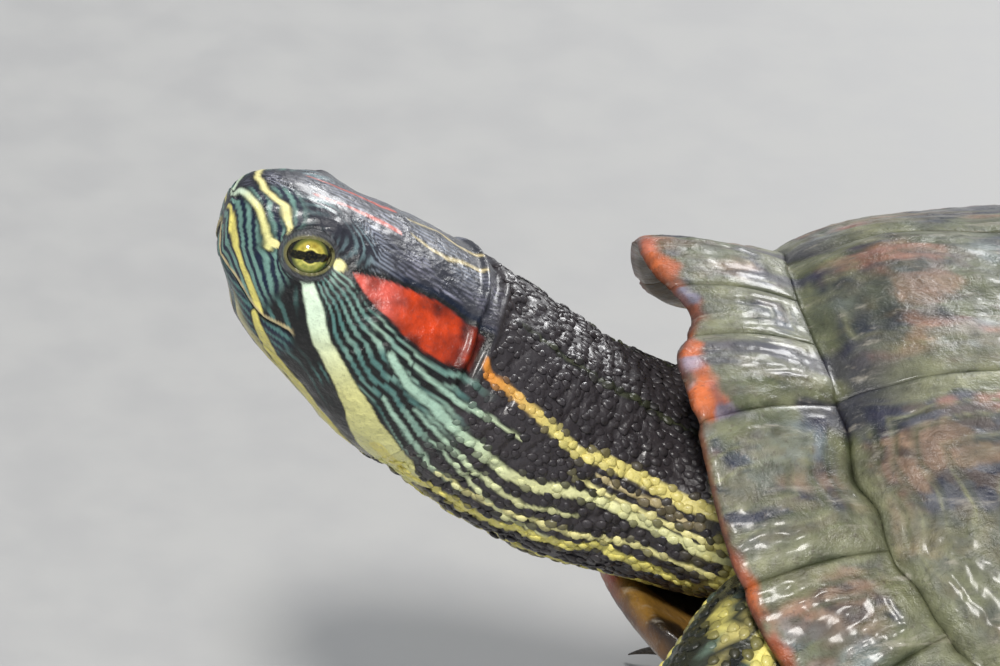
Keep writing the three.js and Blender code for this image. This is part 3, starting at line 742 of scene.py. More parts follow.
# %% Rings along the axis
def axis_rings():
    """Place, mark, centre, up, half width, middle, half height and squareness of every ring."""
    coarse = 1
    cap = np.linspace(0, math.pi / 2, 14)[1:-1][::-1]
    forward = np.concatenate([
        np.arange(SNOUT_ROUND, 38, -0.25 * coarse),
        np.arange(38, 24, -0.27 * coarse),
        np.arange(24, 0.01, -0.38 * coarse),
    ])
    share = np.arange(0.02, 5.0, 0.003)
    path = neck_axis(share)
    walked = np.concatenate([[0], np.cumsum(np.linalg.norm(np.diff(path, axis=0), axis=1))])
    steps = np.concatenate([np.arange(0.4, 42, 0.52 * coarse), np.arange(42.5, walked[-1], 2.2)])
    neck_share = np.interp(steps, walked, share)
    neck = neck_axis(neck_share)
    ahead = unit(neck_axis(neck_share - 0.02) - neck_axis(neck_share + 0.02))
    neck_up = np.stack([ahead[:, 2], np.zeros(len(ahead)), -ahead[:, 0]], -1)
    place = np.concatenate([np.full(len(cap), SNOUT_ROUND), forward, -steps])
    shrink = np.concatenate([np.cos(cap) ** 0.75, np.ones(len(forward) + len(steps))])
    push = np.concatenate([1.0 * np.sin(cap), np.zeros(len(forward) + len(steps))])
    on_head = np.arange(len(place)) < len(cap) + len(forward)
    spot = np.where(on_head, place, 0)
    head_centre = head_to_shell(np.stack([spot + push, 0 * spot, 0 * spot], -1))
    head_up = head_to_shell(np.array([0.0, 0, 1])) - head_to_shell(np.array([0.0, 0, 0]))
    centre = np.where(on_head[:, None], head_centre, 0)
    up = np.where(on_head[:, None], head_up, 0)
    centre[~on_head], up[~on_head] = neck, neck_up
    top, bottom, half = along(HEAD_TOP, spot), along(HEAD_BOTTOM, spot), along(HEAD_HALF, spot)
    high = along(table_of(NECK_HEIGHT), neck_share)
    top[~on_head], bottom[~on_head] = high, -high
    half[~on_head] = along(table_of(NECK_HALF), neck_share)
    middle = (top + bottom) / 2
    tall = (top - bottom) / 2
    mark = place + NOSE_CAP * (1 - shrink)
    return place, mark, centre, up, half * shrink, middle, tall * shrink, on_head.astype(float)[:, None]


place, mark, centre, up, half, middle, tall, squarish = axis_rings()
COLUMNS = 272
turn = np.linspace(0, 2 * math.pi, COLUMNS, endpoint=False)
wide = signed_power(np.cos(turn), 1 - 0.08 * squarish) * half[:, None]
high = signed_power(np.sin(turn), 1 - 0.05 * squarish) * tall[:, None] + middle[:, None]
left = np.array([0.0, -1.0, 0.0])
slant = SNOUT_SLANT * smooth(31, 42, place)[:, None] * (high - 1.5)
skin_grid = centre[:, None] + up[:, None] * high[..., None] + left * wide[..., None]
skin_grid = skin_grid + (head_to_shell(np.array([1.0, 0, 0])) - HEAD_FOLD) * slant[..., None]
PLACE = np.repeat(mark[:, None], COLUMNS, 1)
TURN = np.degrees(np.repeat(turn[None], len(place), 0))
RADIUS = np.repeat(((half + tall) / 2)[:, None], COLUMNS, 1)
ARC = RADIUS * math.pi / 180  # millimetres to a degree around the ring
print("head and neck rings:", skin_grid.shape[:2])

# %% [markdown]
# ## Folds, mouth, nostrils and ears
#
# Each feature is a small height added along the surface's own direction outwards. Bumps
# and grooves shaped like a bell curve blend into each other without a visible border. The
# mouth is a fine groove that runs back from the beak and turns up at its corner. Behind
# the skull the loose neck skin makes a raised fold with a deep crease after it.

# %% Heights of the soft features
MOUTH = [[25.7, -24], [26.8, -23], [28.7, -27], [30.8, -33], [33.6, -37], [36.8, -39], [39.5, -43],
         [41.7, -55]]


def folded(turns):
    """Angle from the side line: 90 is the top, -90 is under the chin, on both sides."""
    t = (turns + 180) % 360 - 180
    return np.where(np.abs(t) > 90, np.sign(t) * 180 - t, t)


RISE = folded(TURN)
on_face = smooth(25.2, 26.6, PLACE)
mouth_gap = (RISE - along(MOUTH, PLACE)) * ARC


def soft_heights():
    h = -0.62 * bell(mouth_gap, 0.24) * on_face
    h = h + (0.20 * bell(mouth_gap - 0.75, 0.45) - 0.22 * bell(mouth_gap + 0.7, 0.5)) * on_face
    ear = np.hypot((PLACE - 11.5), (RISE - 6) * ARC)
    h = h - 0.15 * smooth(5.2, 3.2, ear) + 0.08 * bell(ear - 5.4, 0.8)
    cheek = np.hypot((PLACE - 20) / 1.6, (RISE + 4) * ARC)
    h = h + 0.55 * bell(cheek, 6)
    jaw_fold = (PLACE - 17.5) * 0.45 + (RISE - 5) * ARC * 0.35
    h = h - 0.3 * bell(jaw_fold, 0.5) * smooth(24, 20, PLACE) * smooth(8, 12, PLACE) * smooth(-45, -10, RISE)
    upper = smooth(8, 34, RISE)
    wave = PLACE - 1.6 * np.sin(np.radians(RISE * 2.2)) - 0.8 * noise(skin_grid, 9, 5)
    h = h + upper * (0.85 * bell(wave - 0.6, 0.75) - 1.0 * bell(wave + 1.0, 0.6))
    h = h + 0.5 * upper * bell(wave + 2.6, 0.9)
    behind = smooth(-1.5, -4.5, PLACE)
    slant = PLACE + 0.32 * RISE * ARC
    folds = np.stack([slant / 3.6, RISE / 26, TURN * 0], -1)
    crease = 1 - np.abs(noise(folds, 1.0, 41, 2))
    h = h + behind * (1.1 * noise(skin_grid, 13, 61) - 0.75 * np.clip(crease - 0.72, 0, 1) * 3.2)
    rings = np.stack([PLACE / 2.1, RISE / 60, TURN * 0], -1)
    h = h - behind * 0.42 * np.clip(1 - 5 * np.abs(noise(rings, 1.0, 77)), 0, 1)
    throat = smooth(-38, -62, RISE) * smooth(36, 26, PLACE)
    pleat = np.stack([PLACE / 12, RISE * RADIUS / 120, TURN * 0], -1)
    h = h - throat * 0.35 * np.clip(1 - 4 * np.abs(noise(pleat, 1.0, 83)), 0, 1)
    temple = smooth(2, 9, PLACE) * smooth(30, 20, PLACE)
    h = h + 0.12 * temple * noise(skin_grid, 3.2, 91, 2)
    h = h + 0.045 * noise(skin_grid, 0.8, 97)
    return h


def ring_normals(grid):
    around = np.roll(grid, -1, 1) - np.roll(grid, 1, 1)
    n = unit(np.cross(np.gradient(grid, axis=0), around))
    return n * np.sign((n * (grid - grid.mean(1, keepdims=True))).sum(-1).mean())


heights = soft_heights()
brow = np.hypot((PLACE - 30) / 1.3, (RISE - 52) * ARC)
heights = heights + 2.6 * bell(brow, 3.1)
skin_grid = skin_grid + ring_normals(skin_grid) * (heights - 0.25)[..., None]

# %% Nostrils and the edge of the beak
head_grid = shell_to_head(skin_grid)
for side in (-1, 1):
    hole = np.linalg.norm(head_grid - np.array([43.4, side * 1.9, 7.9]), axis=-1)
    head_grid = head_grid - np.array([1.5, 0, 0.3]) * bell(hole, 0.62)[..., None]
    head_grid = head_grid + np.array([0.22, 0, 0.12]) * bell(hole - 1.0, 0.35)[..., None]
nostrils = [np.linalg.norm(head_grid - np.array([42.9, side * 1.9, 7.7]), axis=-1) for side in (-1, 1)]
nostril_shade = sum(bell(distance, 0.8) for distance in nostrils)

# %% [markdown]
# ## The eye's opening and its lids
#
# A turtle's lids lie on the eyeball like a thick cloth with a slanting slit. So the skin
# near each eye is described from the eyeball's own centre: inside the slit it sinks
# behind the ball, at the slit's edge it lies just on the ball, and further out it eases
# back into the head. Points close to the edge are moved onto it, which gives a clean rim.

# %% Lids
LID = {"long": 61.0, "tall": 42.0, "lift": 0.42, "ease": 56.0}
GAZE = unit(np.array([0.22, 0.94, 0.26]))
SLANT = np.array([-0.89, 0.10, 0.40])
lid_edge = np.full(PLACE.shape, 90.0)


def eye_axes(side):
    mirror = np.array([1.0, side, 1.0])
    ahead = GAZE * mirror
    lengthwise = SLANT * mirror
    lengthwise = unit(lengthwise - ahead * (lengthwise @ ahead))
    upwards = np.cross(ahead, lengthwise)
    return ahead, lengthwise, upwards * np.sign(upwards[2])


def shape_lids(points, side):
    centre_of_eye = left_eye_centre * np.array([1.0, side, 1.0])
    ahead, lengthwise, upwards = eye_axes(side)
    v = points - centre_of_eye
    far = np.linalg.norm(v, axis=-1)
    n = v / far[..., None]
    across, above = n @ lengthwise, n @ upwards
    angle = np.degrees(np.arccos(np.clip(n @ ahead, -1, 1)))
    around = np.arctan2(above, across)
    opening = 1 / np.sqrt((np.cos(around) / LID["long"]) ** 2 + (np.sin(around) / LID["tall"]) ** 2)
    beyond = angle - opening
    beyond = np.where((beyond > -6.5) & (beyond < 0), 0.0, beyond)
    angle = np.radians(opening + beyond)
    pleats = 0.13 * np.sin(beyond * 0.62 + 1.2 * np.sin(around * 3)) * smooth(4, 10, beyond)
    pleats = pleats + 0.10 * np.sin(beyond * 1.1 + 2.0 * np.sin(around * 2)) * smooth(9, 16, beyond)
    lid = EYE["radius"] + LID["lift"] + 0.35 * smooth(2, 14, beyond) + pleats
    away = smooth(EYE["radius"] + 1.2, EYE["radius"] + 4.6, far) * smooth(2, 8, beyond)
    ease = np.maximum(smooth(9, LID["ease"], beyond), away)
    cover = EYE["radius"] + 0.35
    reach = np.where(beyond < 0, EYE["radius"] - 1.0, np.maximum(mix(lid, far, ease), cover))
    tangent = unit(across[..., None] * lengthwise + above[..., None] * upwards)
    direction = np.cos(angle)[..., None] * ahead + np.sin(angle)[..., None] * tangent
    moved = centre_of_eye + reach[..., None] * direction
    near = ((beyond < LID["ease"]) | (far < cover)) & (points[..., 1] * side > 0) & (points[..., 0] > 18)
    return np.where(near[..., None], moved, points), np.where(near, beyond + 60 * away, 90.0)


for side in (-1, 1):
    head_grid, beyond = shape_lids(head_grid, side)
    lid_edge = np.minimum(lid_edge, beyond)
skin_grid = head_to_shell(head_grid)
print("points on the lids:", int((lid_edge < 20).sum()))

# %% [markdown]
# ## Legs, feet, tail and trunk
#
# Limbs are tubes along a bent line, the same idea as the neck. Feet are a palm, five toes
# and a web between them. Each of these is a closed shape, and closed shapes can be joined
# into one with a Boolean union, which removes what lies inside. Blender's Manifold solver
# does this quickly as long as every part is watertight.


# %% Closed tubes along a line
def curve_through(places, share):
    return np.stack([along(table_of([p[k] for p in places]), share) for k in range(3)], -1)


def tube(stations, columns, rows, upright):
    """A ring grid through [place, half width, half height], closed by a point at each end."""
    share = np.linspace(0, len(stations) - 1, rows)
    places = [s[0] for s in stations]
    path = curve_through(places, share)
    ahead = unit(curve_through(places, share + 0.02) - curve_through(places, share - 0.02))
    across = unit(np.cross(np.array(upright, float), ahead))
    upwards = unit(np.cross(ahead, across))
    wide = along(table_of([s[1] for s in stations]), share)
    tall = along(table_of([s[2] for s in stations]), share)
    a = np.linspace(0, 2 * math.pi, columns, endpoint=False)
    grid = path[:, None] + across[:, None] * (np.cos(a) * wide[:, None])[..., None]
    grid = grid + upwards[:, None] * (np.sin(a) * tall[:, None])[..., None]
    return grid, share, a, path, ahead


# %% [markdown]
# A standing leg shows its bones through the skin: a full upper arm, a knobbly elbow and a
# flat forearm. The hind legs lie folded beside the shell. Creases run around each limb
# where it bends, so their depth follows the bend of the path.

# %% The four legs, from the shell to the ankle
def stand_of(x, y, z):
    return shell_to_stand(np.array([x, y, z], float)).tolist()


LEGS = {
    "front_left": {
        "path": [[stand_of(-70, -30, -20), 14.6, 14.6], [stand_of(-88, -40, -25), 15.6, 14.6],
                 [stand_of(-101, -52, -34), 13.6, 13.6], [[-110, -66, 56], 12.2, 12.2],
                 [[-107, -72, 43], 11.2, 11.3], [[-103, -77, 28], 10.1, 9.1], [[-104, -79, 14], 9.0, 7.9],
                 [[-104, -79, 5.5], 9.6, 8.4]],
        "upright": [0.35, -0.82, 0.35], "ankle": [-104, -79, 9], "toes": 196,
    },
    "front_right": {
        "path": [[stand_of(-68, 30, -20), 14.6, 14.6], [stand_of(-78, 40, -25), 14.6, 13.6],
                 [[-79, 50, 62], 13.2, 13.2], [[-76, 55, 50], 11.7, 11.7], [[-71, 57, 41], 11.1, 11.1],
                 [[-64, 58, 27], 10.1, 9.1], [[-62, 58, 14], 9.0, 7.9], [[-62, 58, 5.5], 9.6, 8.4]],
        "upright": [0.35, 0.82, 0.35], "ankle": [-62, 58, 9], "toes": 168,
    },
    "hind_left": {
        "path": [[[60, -28, 27], 13.6, 11.6], [[58, -44, 21], 13.6, 11.6], [[55, -58, 17], 13.6, 12.1],
                 [[57, -70.5, 15], 12.5, 11.7], [[68, -80, 13], 10.6, 10.1], [[82, -88, 10.5], 9.1, 8.1],
                 [[88, -91.5, 8], 9.6, 6.6]],
        "upright": [0, 0, 1], "ankle": [84, -89, 8.5], "toes": -30,
    },
    "hind_right": {
        "path": [[[60, 28, 27], 13.6, 11.6], [[56, 44, 21], 13.6, 11.6], [[52, 58, 17], 13.6, 12.1],
                 [[53, 70.5, 15], 12.5, 11.7], [[62, 82, 13], 10.6, 10.1], [[74, 93, 10.5], 9.1, 8.1],
                 [[79, 97.5, 8], 9.6, 6.6]],
        "upright": [0, 0, 1], "ankle": [76, 94.5, 8.5], "toes": 38,
    },
}

parts = []  # what the union is made of


def keep_part(name, points, faces, kind, run, turns):
    """Remembers a part's points with its place along it (0 to 1) and its angle."""
    part = new_mesh("part_" + name, points, faces)
    parts.append({"name": name, "object": part, "points": points, "kind": kind, "run": run, "turn": turns})


def keep_limb(name, kind, grid, share, a, first, last):
    rows, columns = grid.shape[:2]
    points, faces = closed_rings(grid, first, last)
    run = np.append(np.repeat(share / share[-1], columns), [0, 1])
    turns = np.append(np.tile(np.degrees(a), rows), [0, 0])
    keep_part(name, stand_to_row(points), faces, kind, run, turns)


def keep_plain(name, kind, points, faces, run):
    """A part whose points all have one place along it, or the given ones, and no angle of their own."""
    keep_part(name, points, faces, kind, np.zeros(len(points)) + run, np.full(len(points), 90.0))


def leg_part(name, leg):
    columns, rows = ((56, 84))
    grid, share, a, path, ahead = tube(leg["path"], columns, rows, leg["upright"])
    bend = 1 - np.abs((ahead[1:] * ahead[:-1]).sum(-1))
    bend = np.clip(np.convolve(np.append(bend, 0), np.ones(5) / 5, "same") * 160, 0, 1)
    n = ring_normals(grid)
    seed = 200 + len(parts)
    crease = np.clip(1 - 3.4 * np.abs(noise(grid * np.array([0.6, 0.6, 1.0]), 7.0, seed)), 0, 1)
    lumps = 0.8 * noise(grid, 11, seed + 1, 2) + 0.12 * noise(grid, 2.6, seed + 2)
    fade = smooth(0, 6, grid[..., 2] - 2.0)
    grid = grid + n * ((lumps - (0.25 + 0.8 * bend[:, None]) * crease) * fade)[..., None]
    keep_limb("leg_" + name, "leg", grid, share, a, path[0], path[-1])


for name, leg in LEGS.items():
    leg_part(name, leg)

# %% [markdown]
# Sliders have broad webbed feet. Five toes fan out from a flat palm, the middle one is the
# longest, and a thin web fills the gaps up to the claws. Everything under the floor's
# level is cut off, which leaves the soles flat where they carry weight.

# %% Feet
TOE = {"length": 23.0, "spread": 17.3, "count": 5}
TOE_STATIONS = [(0, 4.5, 3.5, 3.3), (0.35, 4.4, 3.1, 3.0), (0.5, 3.6, 2.7, 2.6), (0.72, 3.8, 2.7, 2.6),
                (0.88, 3.0, 2.2, 2.1), (1.02, 2.5, 1.5, 1.5), (1.1, 2.2, 0.7, 0.7)]  # share, height, sizes
PALM = {"middle": 6.0, "length": 15.0, "width": 15.0}
WEB_LAYERS = [(0.90, 0.9), (1.0, 1.5), (0.97, 2.1), (0.6, 2.7)]  # share of the outline, height
toe_tips = []


def toe_reach(i):
    return TOE["length"] - 2.5 * abs(i - 2)


def toe_point(i, distance):
    fan = math.radians((i - 2) * TOE["spread"])
    return np.array([6 + math.cos(fan) * distance, (i - 2) * 3.4 + math.sin(fan) * distance])


def foot_parts(name, leg):
    heading = math.radians(leg["toes"])
    forward = np.array([math.cos(heading), math.sin(heading), 0])
    sideways = np.array([-forward[1], forward[0], 0])
    ankle = np.array(leg["ankle"], float) * np.array([1, 1, 0])
    height = leg["ankle"][2]

    def put(f, s, z):
        f, s, z = (np.asarray(v, float)[..., None] for v in (f, s, z))
        return ankle + forward * f + sideways * s + np.array([0, 0, 1.0]) * z

    v = np.linspace(0.03, 0.97, 24)[:, None]
    a = np.linspace(0, 2 * math.pi, 32, endpoint=False)[None]
    ring = np.sin(np.pi * v)
    ahead = PALM["middle"] - np.cos(np.pi * v) * PALM["length"] + 0 * a
    across = ring * np.cos(a) * (0.7 + 0.3 * v) * PALM["width"]
    palm = put(ahead, across, mix(height - 1.5, 2.4, v) + ring * np.sin(a) * mix(height, 4.5, v))
    heel = put(PALM["middle"] - PALM["length"], 0.0, height - 1.5)
    points, faces = closed_rings(palm, heel, put(PALM["middle"] + PALM["length"], 0.0, 2.4))
    keep_plain("palm_" + name, "foot", stand_to_row(points), faces, 0.3)

    for i in range(TOE["count"]):
        reach = toe_reach(i)
        stations = [[put(*toe_point(i, share * reach), z).tolist(), w, h] for share, z, w, h in TOE_STATIONS]
        grid, share, turns, path, ahead = tube(stations, 16, 26, [0, 0, 1])
        rings = 0.13 * np.sin(share * 9.5) * smooth(0.5, 1.2, share)
        grid = grid + ring_normals(grid) * rings[:, None, None]
        points, faces = closed_rings(grid, path[0] - ahead[0], path[-1] + 0.3 * ahead[-1])
        run = np.append(np.repeat(0.3 + share / 10, 16), [0.3, 1])
        keep_plain(f"toe_{name}_{i}", "foot", stand_to_row(points), faces, run)
        toe_tips.append({"root": stand_to_row(put(*toe_point(i, reach), 2.5)),
                         "heading": math.atan2(ahead[-1][1], ahead[-1][0]), "size": 1.0 - 0.1 * abs(i - 2)})

    outline = [np.array([0.0, -8.0])]
    for i in range(TOE["count"]):
        hollows = [(i - 0.7, 0.74), (i - 0.5, 0.68), (i - 0.3, 0.74)] if i > 0 else []
        outline += [toe_point(at, toe_reach(at) * share) for at, share in hollows + [(i, 0.86)]]
    outline.append(np.array([0.0, 8.0]))
    heart = np.array([4.0, 0.0])
    layers = [(heart + (np.array(outline) - heart) * share, z) for share, z in WEB_LAYERS]
    grid = np.stack([put(flat[:, 0], flat[:, 1], np.full(len(flat), z)) for flat, z in layers])
    points, faces = closed_rings(grid, put(4.0, 0.0, 0.9), put(4.0, 0.0, 3.0))
    keep_plain("web_" + name, "foot", stand_to_row(points), faces, 0.5)


for name, leg in LEGS.items():
    foot_parts(name, leg)
print("parts so far:", len(parts), "- toes:", len(toe_tips))

# %% Tail and trunk
TAIL = [[stand_of(84, 0, -27), 11.6, 8.2], [stand_of(104, 1, -26), 8.8, 6.3], [[112, 6, 12], 5.9, 4.9],
        [[124, 16, 7.5], 4.1, 3.9], [[131, 27, 4.5], 2.4, 2.6], [[133, 35, 2.6], 1.2, 1.5]]
grid, share, a, path, ahead = tube(TAIL, 28, 70, [0, 0, 1])
rings = np.clip(np.abs(np.sin(share * 13.0)), 0, 1) ** 0.6
relief = 0.25 * rings[:, None] + 0.1 * noise(grid, 2.0, 301) - 0.35
grid = grid + ring_normals(grid) * relief[..., None]
keep_limb("tail", "tail", grid, share, a, path[0] - ahead[0], path[-1] + ahead[-1])

trunk_turn = np.linspace(0, 2 * math.pi, 72, endpoint=False)
trunk_level = np.linspace(0.03, 0.97, 30)[:, None]
r = np.sin(np.pi * trunk_level) * 0.97
plan = seam_plan(np.degrees(trunk_turn))[None] * r[..., None]
trunk = inwards(dome_point(plan), np.full(plan.shape[:2], PLATE_DEPTH + 1.8))
trunk[..., 2] = np.where(trunk_level > 0.5, mix(trunk[..., 2], -38.8, 1 - r**3), trunk[..., 2])
trunk = trunk + ring_normals(trunk) * (0.6 * noise(trunk, 8, 311, 2) - 0.4)[..., None]
points, faces = closed_rings(trunk, trunk[0].mean(0), trunk[-1].mean(0))
keep_plain("trunk", "trunk", shell_to_row(points), faces, 0.0)

# %% Head and neck as a part
grid = shell_to_row(skin_grid)
points, faces = closed_rings(grid, grid[0].mean(0), grid[-1].mean(0))
places, turns = np.append(PLACE.ravel(), [41.7, -75]), np.append(TURN.ravel(), [0, 0])
keep_part("head_and_neck", points, faces, "head", places, turns)
parts[-1]["extra"] = {
    "lid": np.append(lid_edge.ravel(), [90, 90]),
    "hole": np.append(nostril_shade.ravel(), [0, 0]),
    "radius": np.append(RADIUS.ravel(), [5, 20]),
}

# %% [markdown]
# The union is done part by part. After it, each point of the new mesh looks up the
# nearest point of the parts it was made from, and takes over that point's place and
# angle. Points that have no close neighbour lie on a new crease, where two parts meet.
# They and their neighbours are relaxed a little, so that a leg grows out of the body.

# %% The union
def union(base, others):
    for other in others:
        step = base.modifiers.new("join", "BOOLEAN")
        step.operation = "UNION"
        step.solver = "MANIFOLD"
        step.object = other
        bpy.context.view_layer.update()
        joined = bpy.data.meshes.new_from_object(base.evaluated_get(bpy.context.evaluated_depsgraph_get()))
        base.modifiers.remove(step)
        old = base.data
        base.data = joined
        bpy.data.meshes.remove(old)
        bpy.data.objects.remove(other)


skin = next(p["object"] for p in parts if p["name"] == "trunk")
union(skin, [p["object"] for p in parts if p["name"] != "trunk"])
skin.name = "skin"
print("skin after the union:", len(skin.data.vertices), "points")


# %% Carrying the parts' numbers over to the skin
source_points = np.concatenate([p["points"] for p in parts])
kind_names = ["head", "leg", "foot", "tail", "trunk"]
source_kind = np.concatenate([np.full(len(p["points"]), kind_names.index(p["kind"])) for p in parts])
source_run = np.concatenate([p["run"] for p in parts])
source_turn = np.concatenate([p["turn"] for p in parts])
EXTRAS = {"lid": 90.0, "hole": 0.0, "radius": 10.0}
source_extra = {
    key: np.concatenate([p.get("extra", {}).get(key, np.full(len(p["points"]), empty)) for p in parts])
    for key, empty in EXTRAS.items()
}


def nearest_sources(points, sources):
    """Index of the nearest source point and its distance."""
    tree = KDTree(len(sources))
    for i, p in enumerate(sources.tolist()):
        tree.insert(p, i)
    tree.balance()
    found = [tree.find(p) for p in points.tolist()]
    return np.array([f[1] for f in found]), np.array([f[2] for f in found])


skin_points = read_points(skin.data)
nearest, gap = nearest_sources(skin_points, source_points)
kind = source_kind[nearest]
run = source_run[nearest]
turn_of = source_turn[nearest]
extra = {key: values[nearest] for key, values in source_extra.items()}

# %% Relaxing the creases
flat = np.empty(len(skin.data.edges) * 2, np.int64)
skin.data.edges.foreach_get("vertices", flat)
edges = flat.reshape(-1, 2)
fresh = (gap > 0.02).astype(float)
for _ in range(4):
    spread = fresh.copy()
    np.maximum.at(spread, edges[:, 0], 0.75 * fresh[edges[:, 1]])
    np.maximum.at(spread, edges[:, 1], 0.75 * fresh[edges[:, 0]])
    fresh = spread
degree = np.bincount(edges.ravel(), minlength=len(skin_points))[:, None]
for _ in range(8):
    total = np.zeros_like(skin_points)
    np.add.at(total, edges[:, 0], skin_points[edges[:, 1]])
    np.add.at(total, edges[:, 1], skin_points[edges[:, 0]])
    skin_points = mix(skin_points, total / degree, 0.5 * fresh[:, None])
write_points(skin.data, skin_points)
print("relaxed points:", int((fresh > 0.1).sum()))

# %% [markdown]
# ## Markings
#
# The slider's pattern is made of lines: a yellow stripe that starts at the nostril, pale
# stripes that run from under the eye down to the throat, and the red patch behind the eye
# that gives the animal its name. A picture laid over the head would smear at the sides.
# Here every stripe is a line of a few points, each a place along the axis and an angle
# around it, and a point's colour depends on how far it is from that line. Thin stripes
# that follow a thick one come from the same distance, repeated like a wave.

# %% Distances to the lines of the pattern
COLOUR = {name: linear(code) for name, code in {
    "ink": "#121314", "slate": "#2c2d36", "lavender": "#8e90a2", "teal": "#55807b", "navy": "#141f36",
    "mint": "#a3c4b0", "pale": "#d6ead0", "yellow": "#e6da78", "cream": "#efe6a0", "salmon": "#bb5044",
    "red": "#a5300a", "rust": "#4a120c", "orange": "#d98a38", "neck": "#353134", "olive": "#3d4030",
    "sand": "#c9b88a",
}.items()}
is_head = kind == 0
HP = run[is_head]  # place along the axis
HR = folded(turn_of[is_head])
SCALE = extra["radius"][is_head] * math.pi / 180
spot = skin_points[is_head]
# the pattern is never quite the same on both sides, so a little noise bends every line
HP = HP + 0.22 * noise(spot, 3.0, 401, 2)
HR = HR + 0.22 * noise(spot, 3.0, 407, 2) / SCALE


def line_distance(line):
    """Distance from each point to a line of (place, angle), which side it is on, and how far along."""
    best = np.full(len(HP), 1e9)
    side = np.zeros(len(HP))
    share = np.zeros(len(HP))
    for k in range(len(line) - 1):
        (x0, a0), (x1, a1) = line[k], line[k + 1]
        ex, ey = x1 - x0, (a1 - a0) * SCALE
        px, py = HP - x0, (HR - a0) * SCALE
        t = np.clip((px * ex + py * ey) / (ex * ex + ey * ey), 0, 1)
        dx, dy = px - t * ex, py - t * ey
        d = np.hypot(dx, dy)
        closer = d < best
        best = np.where(closer, d, best)
        side = np.where(closer, np.sign(ex * dy - ey * dx), side)
        share = np.where(closer, (k + t) / (len(line) - 1), share)
    return best, side, share


def stripe(line, widths, soft=0.22):
    """Cover of a stripe from 0 to 1 and the share of its length at each point."""
    d, _, share = line_distance(line)
    half = along([[i / (len(widths) - 1), w / 2] for i, w in enumerate(widths)], share)
    return smooth(half + soft, half - soft, d), share


def wave_of(distance, period):
    return np.cos(distance * 2 * math.pi / period)


# %% The ground colours of head and neck
top_side = smooth(36, 52, HR)
snout = smooth(31, 34, HP)
under_chin = smooth(-52, -66, HR)
behind_skull = smooth(0.5, -2.0, HP)
head = Coats(COLOUR, "ink", len(HP))
head.lay("slate", top_side)
head.lay("neck", behind_skull)

SALMON = [(33.3, 76), (29, 79), (24.1, 81), (21.2, 81), (18.1, 80)]
SNOUT_STRIPE = [(43.6, 62), (42.6, 47), (41.7, 12), (40.6, -7), (38.6, -18), (36.6, -25), (33.6, -29),
                (31.0, -32)]
EAR_TOP = [[-1, 46], [2.6, 47], [8.2, 49], [13.9, 47], [19.3, 42], [22.6, 37], [24.2, 34.5]]
EAR_UNDER = [[-1, 28], [3.3, 24], [8.3, 23], [10.8, 23], [15.1, 25], [19.6, 27], [22.8, 31], [24.2, 34.5]]

# thin lines on the crown and temples
d, side_of, _ = line_distance([(40, 62), (34, 64), (26, 66), (16, 66), (6, 68), (0, 70)])
brow_swirl = np.hypot((HP - 30.5) / 1.35, (HR - 47) * SCALE)
swirl = smooth(8.5, 5.0, brow_swirl) * smooth(20, 23, HP)
along_crown = d * side_of + 0.9 * noise(spot, 7.0, 411, 2)
crown_wave = wave_of(mix(along_crown, brow_swirl + 0.35 * noise(spot, 4.0, 413), swirl), 0.98)
crown_lines = smooth(0.0, 0.6, crown_wave) * (0.45 + 0.9 * noise(spot, 4.0, 415, 2))
crown_hue = head.between("lavender", "teal", 0.5 * swirl + 0.3 * noise(spot, 8, 417))
head.lay(crown_hue, np.clip(crown_lines, 0, 1) * top_side * (1 - behind_skull) * 0.85)

# cheek stripes, between the broad stripe under the eye and the ear patch
low = along([[-6, -36], [0.7, -28], [8.2, -16], [14.6, -14], [21.1, -6], [24.9, 4], [28.4, 11]], HP)
top = along([[-6, 26], [0, 27], [3.3, 24], [10.8, 23], [19.6, 26], [22.8, 30], [28.4, 33]], HP)
level = (HR - low) / (top - low)
whorl = np.hypot(HP - 13, (HR - 1) * SCALE)
level = level + 0.05 * bell(whorl, 4.5) * np.sin(whorl * 0.9) + 0.035 * noise(spot, 9.0, 421)
cheek_wave = wave_of(level, 1 / 6.5)
cheek_zone = smooth(-0.02, 0.04, level) * smooth(1.02, 0.95, level) * smooth(-7, 2, HP) * smooth(30, 27, HP)
cheek_tint = head.between("teal", "mint", np.clip(0.45 + 0.9 * noise(spot, 5.0, 423, 2), 0, 1))
head.lay(cheek_tint, smooth(-0.05, 0.45, cheek_wave) * cheek_zone * 0.85)

# small dark and teal lines in the gap between the mouth's corner and the broad stripe
gap_low = along([[6, -54], [12, -51], [20.5, -42], [25.4, -43], [28.7, -37], [31.9, -33]], HP)
gap_high = along([[6, -50], [12, -38], [16.9, -25], [23.1, -14], [27.1, -4], [30.4, 4]], HP)
gap_level = (HR - gap_low) / np.maximum(gap_high - gap_low, 1.0)
gap_wave = wave_of(gap_level + 0.03 * noise(spot, 5, 425), 1 / 3.5)
gap_zone = smooth(0.05, 0.12, gap_level) * smooth(0.98, 0.9, gap_level)
gap_zone = gap_zone * smooth(13, 18, HP) * smooth(33, 30, HP)
gap_zone = gap_zone * smooth(-0.5, 0.1, noise(spot, 3.5, 427))
head.lay("teal", smooth(0.3, 0.75, gap_wave) * gap_zone * 0.8)

